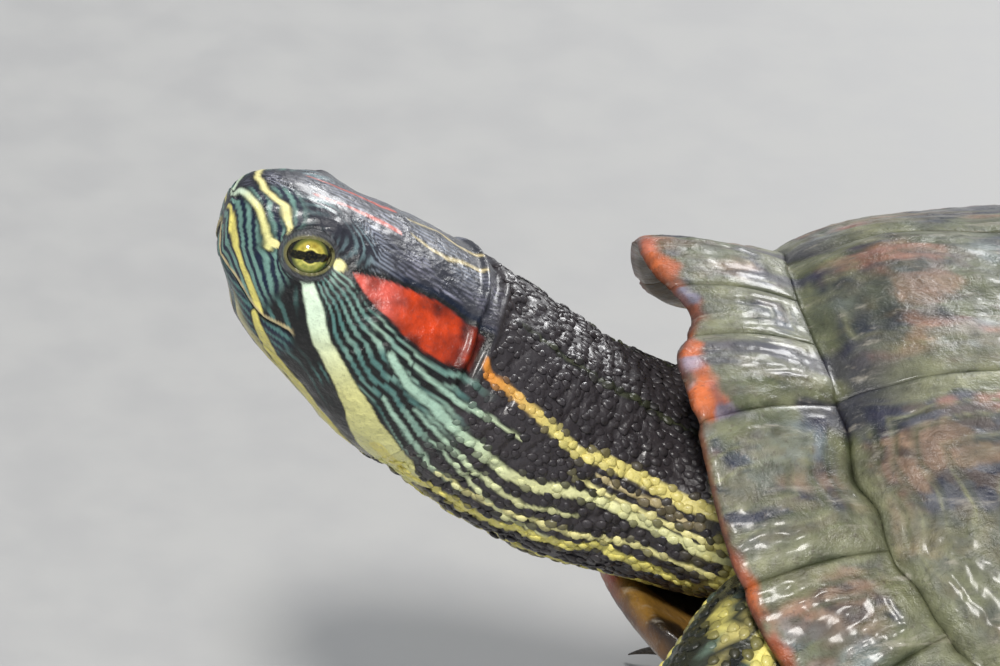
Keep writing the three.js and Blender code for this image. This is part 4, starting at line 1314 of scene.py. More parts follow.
# teal and navy lines that run beside the snout's yellow stripe
d, side_of, _ = line_distance(SNOUT_STRIPE)
snout_wave = wave_of(d + 0.12 * noise(spot, 2.5, 431), 1.25)
snout_zone = snout * smooth(9.5, 7.5, d) * (1 - smooth(66, 78, HR))
head.lay("navy", snout_zone * 0.9)
head.lay(head.between("teal", "mint", 0.25), smooth(-0.35, 0.35, snout_wave) * snout_zone * 0.9)
jaw_zone = smooth(along(MOUTH, HP), along(MOUTH, HP) - 4, HR) * smooth(24, 27, HP) * smooth(-72, -60, HR)
head.lay("navy", jaw_zone * 0.9)
jaw_wave = wave_of(HR * SCALE + HP * 0.2, 1.7)
head.lay("teal", smooth(0.0, 0.5, jaw_wave) * jaw_zone * 0.8)

# %% Stripes of the chin and the neck
chin_wave = np.cos((HR + 90) * SCALE * 2 * math.pi / 6.2 + 0.5 * noise(spot, 7.0, 435))
chin = smooth(-0.45, 0.0, chin_wave) * under_chin * smooth(40, 34, HP)
head.lay(head.between("cream", "sand", 0.35), chin * 0.9)

PALE_LINES = [
    ([(42.0, 86), (41.0, 72), (39.8, 54), (38.4, 39), (37.6, 27), (37.0, 10)], [0.7, 0.8, 0.6], "pale"),
    ([(39.1, 92), (38.3, 68), (37.1, 57), (36.0, 52), (35.8, 43), (34.8, 31)], [0.6, 0.8, 0.9], "cream"),
    ([(29.6, 9), (26, 0), (22.1, -10), (15.8, -19), (10, -27), (3, -40), (-7, -52)],
     [2.2, 2.7, 3.0, 4.0, 6.2, 8.5, 6.0], "pale"),
    ([(32.4, -40), (29, -47), (25.5, -54), (21, -56), (14, -60), (6, -66)],
     [1.4, 2.6, 3.0, 3.8, 4.2], "yellow"),
    ([(12.8, 10), (7.5, 4), (1.8, 2), (-3.8, -1), (-9.1, -2), (-15.4, -6), (-21.4, -3), (-28.8, 5),
      (-35.4, 6), (-41.3, 4), (-47.5, 2), (-56, -2)], [1.2, 1.8, 2.0, 1.9, 2.1], "mint"),
    ([(-30.0, 17), (-42.1, 17), (-50, 13)], [0.5, 1.0, 1.0], "sand"),
    ([(8.3, 14), (0.9, 11), (-5.3, 13), (-14, 14)], [0.6, 0.9, 0.5], "mint"),
    ([(9.4, -9), (2.2, -17), (-5.9, -30), (-14, -31)], [0.7, 1.1, 0.8], "mint"),
    ([(4.0, -4), (-3.0, -9), (-12, -16), (-22, -16), (-31, -7)], [0.5, 0.9, 1.0, 0.5], "mint"),
    ([(3, -40), (-6.3, -51), (-13.8, -42), (-20.6, -40), (-27, -34), (-33.8, -27), (-38, -20), (-44, -24),
      (-52, -30)], [3.0, 2.6, 2.4, 2.2, 2.4], "yellow"),
    ([(-8, -31), (-20, -27), (-30, -19), (-42, -11), (-55, -15)], [0.6, 1.1, 1.2], "cream"),
    ([(-2, -14), (-12, -22), (-24, -30), (-30, -27)], [0.5, 0.9, 0.4], "mint"),
    ([(-26, 12), (-38, 10), (-55, 6)], [0.4, 0.8, 0.9], "cream"),
    ([(-8, -66), (-20, -60), (-34, -52), (-50, -48)], [1.6, 2.2, 2.0], "yellow"),
    ([(-6, -84), (-20, -86), (-40, -84), (-52, -82)], [1.6, 2.0, 1.6], "cream"),
    ([(15.4, 84), (13.5, 82), (11.3, 80), (9, 79), (5.6, 83), (0.9, 85)], [0.4, 0.7, 0.6], "sand"),
    ([(-6, 66), (-18, 62), (-34, 64), (-50, 62)], [0.5, 0.9, 0.7], "olive"),
]
for line, widths, name in PALE_LINES:
    border, _ = stripe(line, [w + 0.9 for w in widths], 0.3)
    head.lay("ink", border * 0.85)
for line, widths, name in PALE_LINES:
    cover, share = stripe(line, widths)
    hue = name
    if name == "pale":
        hue = head.between("pale", "yellow", smooth(0.15, 0.6, share) * 0.75)
    if name == "mint":
        hue = head.between("mint", "cream", smooth(2, -22, HP) * 0.75)
    head.lay(hue, cover)

head.lay("yellow", stripe(SNOUT_STRIPE, [0.7, 0.9, 1.0, 1.3, 1.1])[0])
head.lay("salmon", stripe(SALMON, [0.4, 0.6, 1.0, 0.9], 0.18)[0])
BEAD_STRIPE = [(-0.2, 37), (-3.7, 31), (-7.9, 30), (-12.6, 28), (-17.2, 26), (-24.5, 23), (-29.7, 26),
               (-36.6, 27), (-41, 26), (-47.5, 24), (-58, 22)]
cover, share = stripe(BEAD_STRIPE, [1.6, 1.7, 2.0, 2.5, 2.7], 0.3)
hue = head.between("orange", head.between("yellow", "sand", 0.3), smooth(0.05, 0.45, share))
head.lay(hue, cover)

# %% The red patch behind the eye
above_low = (HR - along(EAR_UNDER, HP)) * SCALE
below_top = (along(EAR_TOP, HP) - HR) * SCALE
inside = np.minimum(np.minimum(above_low, below_top), np.minimum(24.0 - HP, (HP + 0.2)))
band = smooth(-2.4, -2.0, below_top) * smooth(0.1, -0.2, below_top) * smooth(21, 15, HP) * smooth(-2, 0, HP)
head.lay(COLOUR["navy"] * 0.6, band)
head.lay("ink", smooth(-1.3, -0.9, inside) * (1 - smooth(-0.2, 0.0, inside)))
ear_hue = head.between("salmon", "red", smooth(19, 13, HP + 2.2 * noise(spot, 4, 441, 2)))
ear_hue = head.between(ear_hue, "rust", 0.95 * smooth(9.5, 0.5, HP + 4.5 * noise(spot, 3, 443, 3)))
ear_hue = ear_hue * (1 + 0.6 * noise(spot, 2.2, 445, 3))[:, None]
head.lay(ear_hue, smooth(-0.25, 0.2, inside))

# %% Lids, the mouth's edge and the nostrils
lids = extra["lid"][is_head]
ring_lines = smooth(0.0, 0.6, np.cos(lids * 2 * math.pi / 6.0 + 1.2 * noise(spot, 3, 451)))
head.lay(linear("#55565a"), smooth(26, 15, lids) * 0.8)
head.lay("ink", smooth(34, 22, lids) * ring_lines * 0.65)
head.lay(head.between("olive", "yellow", 0.2), smooth(4.0, 1.0, lids) * 0.7)
crescent = bell(np.hypot((HP - 25.6) / 0.8, (HR - 34.5) * SCALE / 1.4), 0.95)
head.lay("cream", smooth(0.3, 0.6, crescent))
front_spot = bell(np.hypot(HP - 36.6, (HR - 17) * SCALE), 0.8)
head.lay("cream", smooth(0.35, 0.6, front_spot))
lip = (HR - along(MOUTH, HP)) * SCALE
lip_zone = smooth(25.6, 27.0, HP)
head.lay("sand", smooth(0.15, 0.35, lip) * smooth(1.25, 0.95, lip) * lip_zone * 0.9)
# painted shade: the mouth's line is painted almost black, as the shade in the slit between the jaws
head.lay(COLOUR["ink"] * 0.3, smooth(0.45, 0.15, np.abs(lip)) * lip_zone)
# painted shade: the nostrils are painted almost black, as the shade inside them
head.lay(COLOUR["ink"] * 0.1, smooth(0.25, 0.6, extra["hole"][is_head]))
print("painted head points:", len(HP))

# %% [markdown]
# ## Finishes
#
# The colours already sit on the points. A finish has to add what the mesh is too coarse
# for: speckles, scratches, a fine bump, and above all the sheen of water. All finishes are
# the same recipe with other numbers: the point colour is broken up by two noises, one
# noise varies the roughness, and a bump is built from three scales of detail. The wet
# film is a clear coat whose strength is one number on the shader's own socket.


# %% Adding nodes, and the recipe of a finish
def add_node(tree, kind_of, inputs=(), **settings):
    """Adds a node with its settings. Each input takes another node's output or a plain value."""
    node = tree.nodes.new(kind_of)
    for key, value in settings.items():
        setattr(node, key, value)
    for key, value in dict(inputs).items():
        if isinstance(value, bpy.types.NodeSocket):
            tree.links.new(value, node.inputs[key])
        else:
            node.inputs[key].default_value = value
    return node.outputs


class Finish:
    """A material under construction, with short ways to add nodes."""

    def __init__(self, name):
        self.material = bpy.data.materials.new(name)
        self.material.use_nodes = True
        self.tree = self.material.node_tree
        self.shader = self.tree.nodes["Principled BSDF"]
        self.place = add_node(self.tree, "ShaderNodeTexCoord")["Object"]

    def stretched(self, stretch):
        if stretch is None:
            return self.place
        return add_node(self.tree, "ShaderNodeMapping", {"Vector": self.place, "Scale": stretch})["Vector"]

    def noise(self, scale, detail=4.0, rough=0.55, stretch=None, distort=0.0):
        return add_node(self.tree, "ShaderNodeTexNoise", {
            "Vector": self.stretched(stretch), "Scale": scale, "Detail": detail, "Roughness": rough,
            "Distortion": distort})["Fac"]

    def cells(self, scale, stretch=None):
        return add_node(self.tree, "ShaderNodeTexVoronoi", {
            "Vector": self.stretched(stretch), "Scale": scale})["Distance"]

    def span(self, value, low, high, to_low=0.0, to_high=1.0):
        return add_node(self.tree, "ShaderNodeMapRange", {
            "Value": value, "From Min": low, "From Max": high, "To Min": to_low, "To Max": to_high,
        }, interpolation_type="SMOOTHSTEP")["Result"]

    def blend(self, share, a, b, how="MIX"):
        a, b = ((*hue, 1.0) if isinstance(hue, tuple) else hue for hue in (a, b))
        return add_node(self.tree, "ShaderNodeMix", {"Factor": share, "A": a, "B": b},
                        data_type="RGBA", blend_type=how)["Result"]

    def point_colour(self):
        return add_node(self.tree, "ShaderNodeAttribute", attribute_name="tint")["Color"]

    def bump(self, layers):
        """Chains bumps of (height, strength, distance in metres)."""
        below = {}
        for height, strength, distance in layers:
            values = {"Height": height, "Strength": strength, "Distance": distance, **below}
            below = {"Normal": add_node(self.tree, "ShaderNodeBump", values)["Normal"]}
        self.tree.links.new(below["Normal"], self.shader.inputs["Normal"])

    def surface(self, colour, roughness, **sockets):
        self.tree.links.new(colour, self.shader.inputs["Base Color"])
        self.tree.links.new(roughness, self.shader.inputs["Roughness"])
        for key, number in sockets.items():
            self.shader.inputs[key.replace("_", " ")].default_value = number
        return self.material


# %% Horn of the shell
def horn_finish(name, wetness, scratch, speckle_dark):
    f = Finish(name)
    speckle = f.noise(900, 5, 0.7)
    cloud = f.noise(150, 6, 0.65, distort=0.4)
    streaks = f.noise(420, 4, 0.6, stretch=(0.2, 1.0, 1.0))
    colour = f.blend(f.span(speckle, 0.52, 0.72, 0.0, 0.55), f.point_colour(), speckle_dark)
    colour = f.blend(f.span(cloud, 0.35, 0.75, 0.0, 0.5), colour, (0.62, 0.60, 0.50), "SOFT_LIGHT")
    colour = f.blend(f.span(streaks, 0.58, 0.76, 0.0, 0.45), colour, (0.44, 0.40, 0.33))
    rough = f.span(f.noise(110, 5, 0.6), 0.38, 0.66, 0.28, 0.62)
    f.bump([(cloud, 0.7, 0.0012), (streaks, scratch, 0.0004), (speckle, 0.8, 0.00025)])
    return f.surface(colour, rough, Coat_Weight=wetness, Coat_Roughness=0.15, Coat_IOR=1.33, IOR=1.54)


scute_finish = horn_finish("scute horn", 0.28, 0.8, (0.035, 0.035, 0.03))
rim_finish = horn_finish("rim horn", 0.3, 0.7, (0.05, 0.035, 0.025))
plastron_finish = horn_finish("under shell horn", 0.85, 0.25, (0.10, 0.05, 0.02))
for piece in plates:
    piece.data.materials.append(rim_finish if on_rim(piece) else scute_finish)

# %% Skin, eye and claw
f = Finish("turtle skin")
grain = f.noise(1500, 4, 0.6)
blotch = f.noise(320, 5, 0.6)
creases = f.cells(620, (1.0, 1.0, 0.8))
colour = f.blend(f.span(grain, 0.5, 0.75, 0.0, 0.28), f.point_colour(), (0.03, 0.032, 0.036))
colour = f.blend(f.span(blotch, 0.3, 0.75, 0.0, 0.35), colour, (0.66, 0.64, 0.60), "SOFT_LIGHT")
rough = f.span(f.noise(260, 4, 0.6), 0.35, 0.68, 0.26, 0.52)
f.bump([(blotch, 0.6, 0.0005), (creases, 0.5, 0.0003), (grain, 0.8, 0.00018)])
skin_finish = f.surface(colour, rough, Coat_Weight=0.3, Coat_Roughness=0.16, Coat_IOR=1.33, IOR=1.45)

f = Finish("wet eye")
threads = f.noise(2600, 4, 0.6)
colour = f.blend(f.span(threads, 0.45, 0.75, 0.0, 0.3), f.point_colour(), (0.16, 0.13, 0.03))
rough = f.span(threads, 0.3, 0.7, 0.08, 0.16)
f.bump([(threads, 0.1, 0.00005)])
eye_finish = f.surface(colour, rough, Coat_Weight=1.0, Coat_Roughness=0.02, Coat_IOR=1.38, IOR=1.4)

f = Finish("claw horn")
lengthwise_grain = f.noise(900, 4, 0.6)
smear = f.noise(240, 4, 0.6)
colour = f.blend(f.span(smear, 0.3, 0.7), (0.022, 0.018, 0.015), (0.12, 0.09, 0.06))
rough = f.span(lengthwise_grain, 0.3, 0.7, 0.18, 0.4)
f.bump([(lengthwise_grain, 0.3, 0.0001)])
claw_finish = f.surface(colour, rough, Coat_Weight=0.4, Coat_Roughness=0.1, IOR=1.54)
print("finishes:", [m.name for m in bpy.data.materials if m.users])

# %% [markdown]
# ## Markings of the body, and what carries the skin
#
# Legs and tail wear the same two colours as the neck: dark green-black, with yellow lines
# that run lengthwise. On a limb the lines follow its angle, on a foot they fan out over
# the toes. Where neck and leg fold into the shell the loose skin shows broader, wavier
# stripes. Nothing here is drawn by hand, the lines bend with noise instead.

# %% Stripes of limbs, feet and tail
LEG, FOOT, TAIL_SKIN, TRUNK = (kind_names.index(name) for name in ("leg", "foot", "tail", "trunk"))
FAN_CENTRE = 4.9  # the toes spread from a point this far behind the ankle
FOOT_REACH = 40
FOOT_TOP = 14


def limb_lines(p, turns, count, share, seed):
    """Cover of lengthwise lines: `count` lines around the limb, each `share` of its gap wide."""
    wander = 0.9 * noise(p, 14, seed, 2) + 0.35 * noise(p, 5, seed + 3)
    wave = np.cos(np.radians(turns) * count + 2.2 * wander)
    gate = smooth(-0.35, 0.1, noise(p, 10, seed + 7, 2) + 0.35)
    return smooth(1 - 2 * share, 1 - 2 * share + 0.35, wave) * gate


whole = Coats(COLOUR, "ink", len(skin_points))
whole.colour = whole.between("ink", "olive", 0.35 + 0.35 * noise(skin_points, 9, 501, 2))
whole.colour[is_head] = head.colour
legs = (kind == LEG) | (kind == TAIL_SKIN)
lines = limb_lines(skin_points, turn_of, 5, 0.17, 511) * smooth(0.12, 0.3, run)
yellow_line = whole.between("yellow", "sand", 0.35)
whole.lay(yellow_line, lines * legs)
thin_lines = limb_lines(skin_points, turn_of + 31, 9, 0.10, 523) * 0.7
whole.lay(whole.between("mint", "olive", 0.4), thin_lines * legs)

# loose skin of the shoulders and around the base of the neck
loose = ((kind == LEG) & (run < 0.45)) | (is_head & (run < -50)) | (kind == TRUNK)
fold_phase = (skin_points[:, 2] * 0.8 - skin_points[:, 0] * 0.6) / 5.6 * 2 * math.pi
fold_phase = fold_phase + 3.0 * noise(skin_points, 17, 531, 2) + 0.9 * noise(skin_points, 6, 537)
near_shell = np.where(is_head, smooth(-50, -58, run), smooth(0.45, 0.36, run))
whole.lay("yellow", smooth(0.12, 0.4, np.cos(fold_phase)) * near_shell * loose)

def about_foot(leg):
    """Distances from the ankle on the floor, forwards and sideways of the foot, and its heading."""
    heading = math.radians(leg["toes"])
    x, y = (skin_points - stand_to_row(np.array([*leg["ankle"][:2], 0.0])))[:, :2].T
    forwards = x * math.cos(heading) + y * math.sin(heading)
    return forwards, y * math.cos(heading) - x * math.sin(heading), heading


# a line on every toe
for leg in LEGS.values():
    f, s, _ = about_foot(leg)
    fan = np.degrees(np.arctan2(s, f + FAN_CENTRE)) / TOE["spread"]
    off = np.abs(fan - np.round(fan)) * TOE["spread"] * np.hypot(s, f + FAN_CENTRE) * math.pi / 180
    cover = smooth(1.15, 0.75, off) * smooth(7, 11, f) * (np.abs(fan) < 2.4)
    whole.lay(yellow_line, cover * 0.9 * ((kind == FOOT) & (np.hypot(f, s) < FOOT_REACH)))
full_tint = np.clip(whole.colour * (1 + 0.10 * noise(skin_points, 1.6, 541)[:, None]), 0, 1)

# %% The skin's place on a flat sheet
# Head and neck have a rectangle of the sheet, each leg a narrow one, and the rest lies flat.
around = (turn_of % 360) / 360
low = skin_points[:, :2].min(0)
plan_uv = (skin_points[:, :2] - low) / (skin_points[:, :2].max(0) - low).max()
leg_number = np.zeros(len(skin_points))
for i, leg in enumerate(LEGS.values()):
    ankle = stand_to_row(np.array(leg["ankle"], float))
    mine = (np.sign(skin_points[:, 1]) == np.sign(ankle[1])) & ((skin_points[:, 0] < 0) == (ankle[0] < 10))
    leg_number = np.where(mine, i, leg_number)
head_place = np.interp(run, [-80, 43], [0.02, 0.98])
head_uv = np.stack([0.02 + 0.46 * around, 0.02 + 0.96 * head_place], -1)
leg_uv = np.stack([0.50 + 0.06 * leg_number + 0.055 * around, 0.04 + 0.9 * run], -1)
rest_uv = np.stack([0.76 + 0.23 * plan_uv[:, 0], 0.04 + 0.9 * plan_uv[:, 1]], -1)
root_uv = np.where(is_head[:, None], head_uv, np.where((kind == LEG)[:, None], leg_uv, rest_uv))

colour_layer(skin.data, "tint", full_tint)
number_layer(skin.data, "root_u", root_uv[:, 0])
number_layer(skin.data, "root_v", root_uv[:, 1])
skin.data.polygons.foreach_set("use_smooth", np.ones(len(skin.data.polygons), bool))
FLESH = ["head", "lower_jaw", "neck", "trunk", "tail"]
FLESH += [f"leg_{name}_{part}" for name in LEGS for part in ("upper", "lower")]
FLESH += [f"foot_{name}" for name in LEGS]
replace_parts(skin, *FLESH)
finish_piece(skin, skin_finish)
print("the skin stands for", len(FLESH), "solids")

# %% [markdown]
# ## Scales
#
# The skin behind the head is beaded with small flat scales. They are real bumps of horn,
# so they catch the light and break the outline. Modelling thousands by hand is hopeless,
# and a bump map has no outline. Geometry Nodes scatter points over the skin at an even
# spacing, place one low dome on each, turn it along the skin and size it by an attribute.
# Because the points carry the skin's attributes, each scale takes the colour under it.


# %% A tree that lays scales on a surface
GEOMETRY = "NodeSocketGeometry"


def new_tree(name, inputs):
    """A tree from one geometry to another, with more inputs; returns it and what it is given."""
    tree = bpy.data.node_groups.new(name, "GeometryNodeTree")
    for way in ("INPUT", "OUTPUT"):
        tree.interface.new_socket("Geometry", in_out=way, socket_type=GEOMETRY)
    for label, kind_of in inputs.items():
        tree.interface.new_socket(label, in_out="INPUT", socket_type="NodeSocket" + kind_of)
    return tree, add_node(tree, "NodeGroupInput")


def point_number(tree, name, data_type="FLOAT"):
    kind_of = "GeometryNodeInputNamedAttribute"
    return add_node(tree, kind_of, {"Name": name}, data_type=data_type)["Attribute"]


def stand_copies(tree, given, inputs):
    """The end of a tree: a copy on every point, made real and given the finish."""
    copies = add_node(tree, "GeometryNodeInstanceOnPoints", inputs)["Instances"]
    real = add_node(tree, "GeometryNodeRealizeInstances", {"Geometry": copies})["Geometry"]
    wires = {"Geometry": real, "Material": given["Finish"]}
    finished = add_node(tree, "GeometryNodeSetMaterial", wires)["Geometry"]
    add_node(tree, "NodeGroupOutput", {"Geometry": finished})
    return tree


def scale_tree():
    tree, given = new_tree("lay_scales", {
        "Dome": "Object", "Spacing": "Float", "Density": "Float", "Seed": "Int", "Finish": "Material"})
    scatter = add_node(tree, "GeometryNodeDistributePointsOnFaces", {
        "Mesh": given["Geometry"], "Distance Min": given["Spacing"], "Density Max": given["Density"],
        "Density Factor": point_number(tree, "crowd"), "Seed": given["Seed"],
    }, distribute_method="POISSON")
    lie = add_node(tree, "FunctionNodeAxesToRotation", {
        "Primary Axis": scatter["Normal"], "Secondary Axis": point_number(tree, "lie", "FLOAT_VECTOR"),
    }, primary_axis="Z", secondary_axis="X")
    # input 2 and 3 of a random value are its limits as a plain number, output 1 is that number
    turn_by = add_node(tree, "FunctionNodeRandomValue", {2: -0.45, 3: 0.45})[1]
    spin = add_node(tree, "FunctionNodeAxisAngleToRotation", {"Angle": turn_by})["Rotation"]
    turned = add_node(tree, "FunctionNodeRotateRotation", {
        "Rotation": lie["Rotation"], "Rotate By": spin}, rotation_space="LOCAL")
    vary = add_node(tree, "FunctionNodeRandomValue", {2: 0.82, 3: 1.14, "Seed": 9})[1]
    sizes = {0: vary, 1: point_number(tree, "scale_size")}
    grow = add_node(tree, "ShaderNodeMath", sizes, operation="MULTIPLY")
    dome = add_node(tree, "GeometryNodeObjectInfo", {"Object": given["Dome"]})
    return stand_copies(tree, given, {
        "Points": scatter["Points"], "Instance": dome["Geometry"], "Rotation": turned["Rotation"],
        "Scale": grow[0]})


# %% Running a tree and keeping its result
def run_tree(thing, tree, name, inputs):
    """Evaluates a tree on an object and returns the result as a new plain object."""
    step = thing.modifiers.new("tree", "NODES")
    step.node_group = tree
    for item in tree.interface.items_tree:
        if item.in_out == "INPUT" and item.name in inputs:
            step[item.identifier] = inputs[item.name]
    bpy.context.view_layer.update()
    made = thing.evaluated_get(bpy.context.evaluated_depsgraph_get())
    mesh = bpy.data.meshes.new_from_object(made)
    thing.modifiers.remove(step)
    mesh.name = name
    return linked(name, mesh)


# %% One low dome
def dome_object(name, length, width, height, columns=8):
    """A low dome of a few faces, longer than wide, with its place on itself as numbers."""
    rings = [(1.0, -0.25), (0.88, 0.35), (0.55, 0.85)]
    a = np.linspace(0, 2 * math.pi, columns, endpoint=False)
    squarish = 1 + 0.10 * np.cos(3 * a)
    points = [[r * squarish[i] * math.cos(t) * length, r * squarish[i] * math.sin(t) * width, z * height]
              for r, z in rings for i, t in enumerate(a)]
    points = np.array(points + [[0, 0, height]])
    faces = grid_quads(len(rings), columns, wrap=True).tolist()
    crown = (len(rings) - 1) * columns
    faces += [[crown + c, crown + (c + 1) % columns, len(points) - 1] for c in range(columns)]
    faces.append(list(range(columns))[::-1])
    return new_mesh(name, points, faces, {"own_u": points[:, 0] / length, "own_v": points[:, 1] / width})


# %% Where scales grow, how large they are and which way they lie
skin.data.update()
normals = np.empty(len(skin_points) * 3)
skin.data.vertices.foreach_get("normal", normals)
normals = normals.reshape(-1, 3)
neck_line = shell_to_row(np.array([[0.0, 0, 0], [-1.0, 0, 0.15]]))
neck_way = unit(neck_line[1] - neck_line[0])
lie = np.tile(neck_way, (len(skin_points), 1))
down_leg = (kind == LEG) | (kind == FOOT) | (kind == TAIL_SKIN)
lie[down_leg] = np.array([0.0, 0.0, -1.0])
for leg in LEGS.values():
    f, s, heading = about_foot(leg)
    near = down_leg & (np.hypot(f, s) < FOOT_REACH) & (skin_points[:, 2] < FOOT_TOP)
    lie[near] = [math.cos(heading), math.sin(heading), 0.05]
lie = lie + normals * 0.02 + 0.25 * noise(skin_points, 9, 601)[:, None] * np.roll(lie, 1, 1)
layer = skin.data.attributes.new("lie", "FLOAT_VECTOR", "POINT")
layer.data.foreach_set("vector", lie.astype(np.float32).ravel())
above_floor = smooth(0.4, 1.2, skin_points[:, 2])
neck_crowd = np.where(is_head, smooth(-1.2, -3.2, run) * smooth(-66, -58, run), 0)
scaly = ((kind == LEG) & (run > 0.2)) | (kind == FOOT) | (kind == TAIL_SKIN)
limb_crowd = scaly * above_floor
size = np.where(is_head, 0.92 + 0.18 * smooth(-4, -30, run), 1.0)
size = np.where(kind == FOOT, 0.72, np.where(kind == TAIL_SKIN, 0.85, size))
number_layer(skin.data, "scale_size", size)
number_layer(skin.data, "crowd", neck_crowd)
print("scales grow on", int((neck_crowd > 0.5).sum() + (limb_crowd > 0.5).sum()), "points")

# %% Growing the scales
SCALE_PIECES = {
    "neck_scales": {"spacing": 0.00128, "crowd": neck_crowd, "dome": (1.02, 0.74, 0.30)},
    "limb_scales": {"spacing": 0.00205, "crowd": limb_crowd, "dome": (1.22, 1.05, 0.42)},
}


def bake_map(mesh, uv):
    """The place of every corner on the flat sheet."""
    corner = np.empty(len(mesh.loops), np.int64)
    mesh.loops.foreach_get("vertex_index", corner)
    layer = mesh.uv_layers.new(name="OFBake")
    layer.data.foreach_set("uv", uv[corner].astype(np.float32).ravel())


def drop_layers(mesh, names):
    for name in names:
        mesh.attributes.remove(mesh.attributes[name])


SKIN_LAYERS = ("root_u", "root_v", "crowd", "scale_size", "lie")
OWN_SHARE = 0.0015  # how much of the sheet one scale covers
lay_scales = scale_tree()
for name, plan in SCALE_PIECES.items():
    dome = dome_object("dome_for_" + name, *plan["dome"])
    crowd = np.asarray(plan["crowd"], np.float32)
    skin.data.attributes["crowd"].data.foreach_set("value", crowd)
    skin.data.update()
    grown = run_tree(skin, lay_scales, name, {
        "Dome": dome, "Spacing": plan["spacing"], "Density": 700000.0, "Seed": 4, "Finish": skin_finish,
    })
    mesh = grown.data
    u, v = (values_of(mesh, "root_" + k) + OWN_SHARE * values_of(mesh, "own_" + k) for k in "uv")
    write_points(mesh, read_points(mesh))
    bake_map(mesh, np.stack([u, v], -1))
    drop_layers(mesh, (*SKIN_LAYERS, "own_u", "own_v"))
    bpy.data.objects.remove(dome)
    finish_piece(grown)
    print(name, "has", sum(len(p.vertices) - 2 for p in mesh.polygons), "triangles")

bake_map(skin.data, root_uv)
drop_layers(skin.data, SKIN_LAYERS)

# %% [markdown]
# ## Claws
#
# Each toe ends in a curved claw, thick at its root and sharp at its tip. All twenty are
# the same shape at different sizes and headings, which is a task for instances: one
# curve, swept with a shrinking circle, stands at every point that marks a toe's end.


# %% A tree that sweeps a claw and stands one on each toe
def claw_tree():
    tree, given = new_tree("grow_claws", {
        "Length": "Float", "Root Radius": "Float", "Droop": "Float", "Finish": "Material"})

    def vector(x, z):
        return add_node(tree, "ShaderNodeCombineXYZ", {0: x, 2: z})[0]

    def maths(operation, a, b):
        return add_node(tree, "ShaderNodeMath", {0: a, 1: b}, operation=operation)[0]

    bow = add_node(tree, "GeometryNodeCurveQuadraticBezier", {
        "Resolution": 12, "Start": (-0.0015, 0, 0.0001),
        "Middle": vector(maths("MULTIPLY", given["Length"], 0.55), maths("MULTIPLY", given["Droop"], 0.35)),
        "End": vector(given["Length"], maths("MULTIPLY", given["Droop"], -1.0))})
    ring = add_node(tree, "GeometryNodeCurvePrimitiveCircle", {
        "Resolution": 12, "Radius": given["Root Radius"]})
    progress = add_node(tree, "GeometryNodeSplineParameter")["Factor"]
    taper = maths("MAXIMUM", maths("POWER", maths("SUBTRACT", 1.0, progress), 0.7), 0.08)
    sweep = add_node(tree, "GeometryNodeCurveToMesh", {
        "Curve": bow["Curve"], "Profile Curve": ring["Curve"], "Scale": taper, "Fill Caps": True})
    ends = add_node(tree, "GeometryNodeMeshToPoints", {"Mesh": given["Geometry"]})
    way = add_node(tree, "FunctionNodeAxisAngleToRotation", {"Angle": point_number(tree, "heading")})
    return stand_copies(tree, given, {
        "Points": ends["Points"], "Instance": sweep["Mesh"], "Rotation": way["Rotation"],
        "Scale": point_number(tree, "size")})


# %% Growing the claws
toe_ends = new_mesh("toe_ends", np.array([tip["root"] for tip in toe_tips]), [], {
    key: [tip[key] for tip in toe_tips] for key in ("heading", "size")})
claws = run_tree(toe_ends, claw_tree(), "claws", {
    "Length": 0.0088, "Root Radius": 0.0014, "Droop": 0.0015, "Finish": claw_finish,
})
claws.data.polygons.foreach_set("use_smooth", np.ones(len(claws.data.polygons), bool))
bpy.data.objects.remove(toe_ends)
finish_piece(claws)
lowest = read_points(claws.data)[:, 2].min()
print("claws:", len(claws.data.polygons), "faces, lowest point", round(float(lowest), 2), "mm")

# %% [markdown]
# ## Eyes
#
# A slider's iris is yellow-green with a dark bar through it at the height of the pupil,
# which carries the head's own stripe across the eye. The eyeball is a sphere whose rings
# are centred on the direction of gaze, so that colour can follow the distance from the
# pupil. The wet clear coat on top is part of the finish.


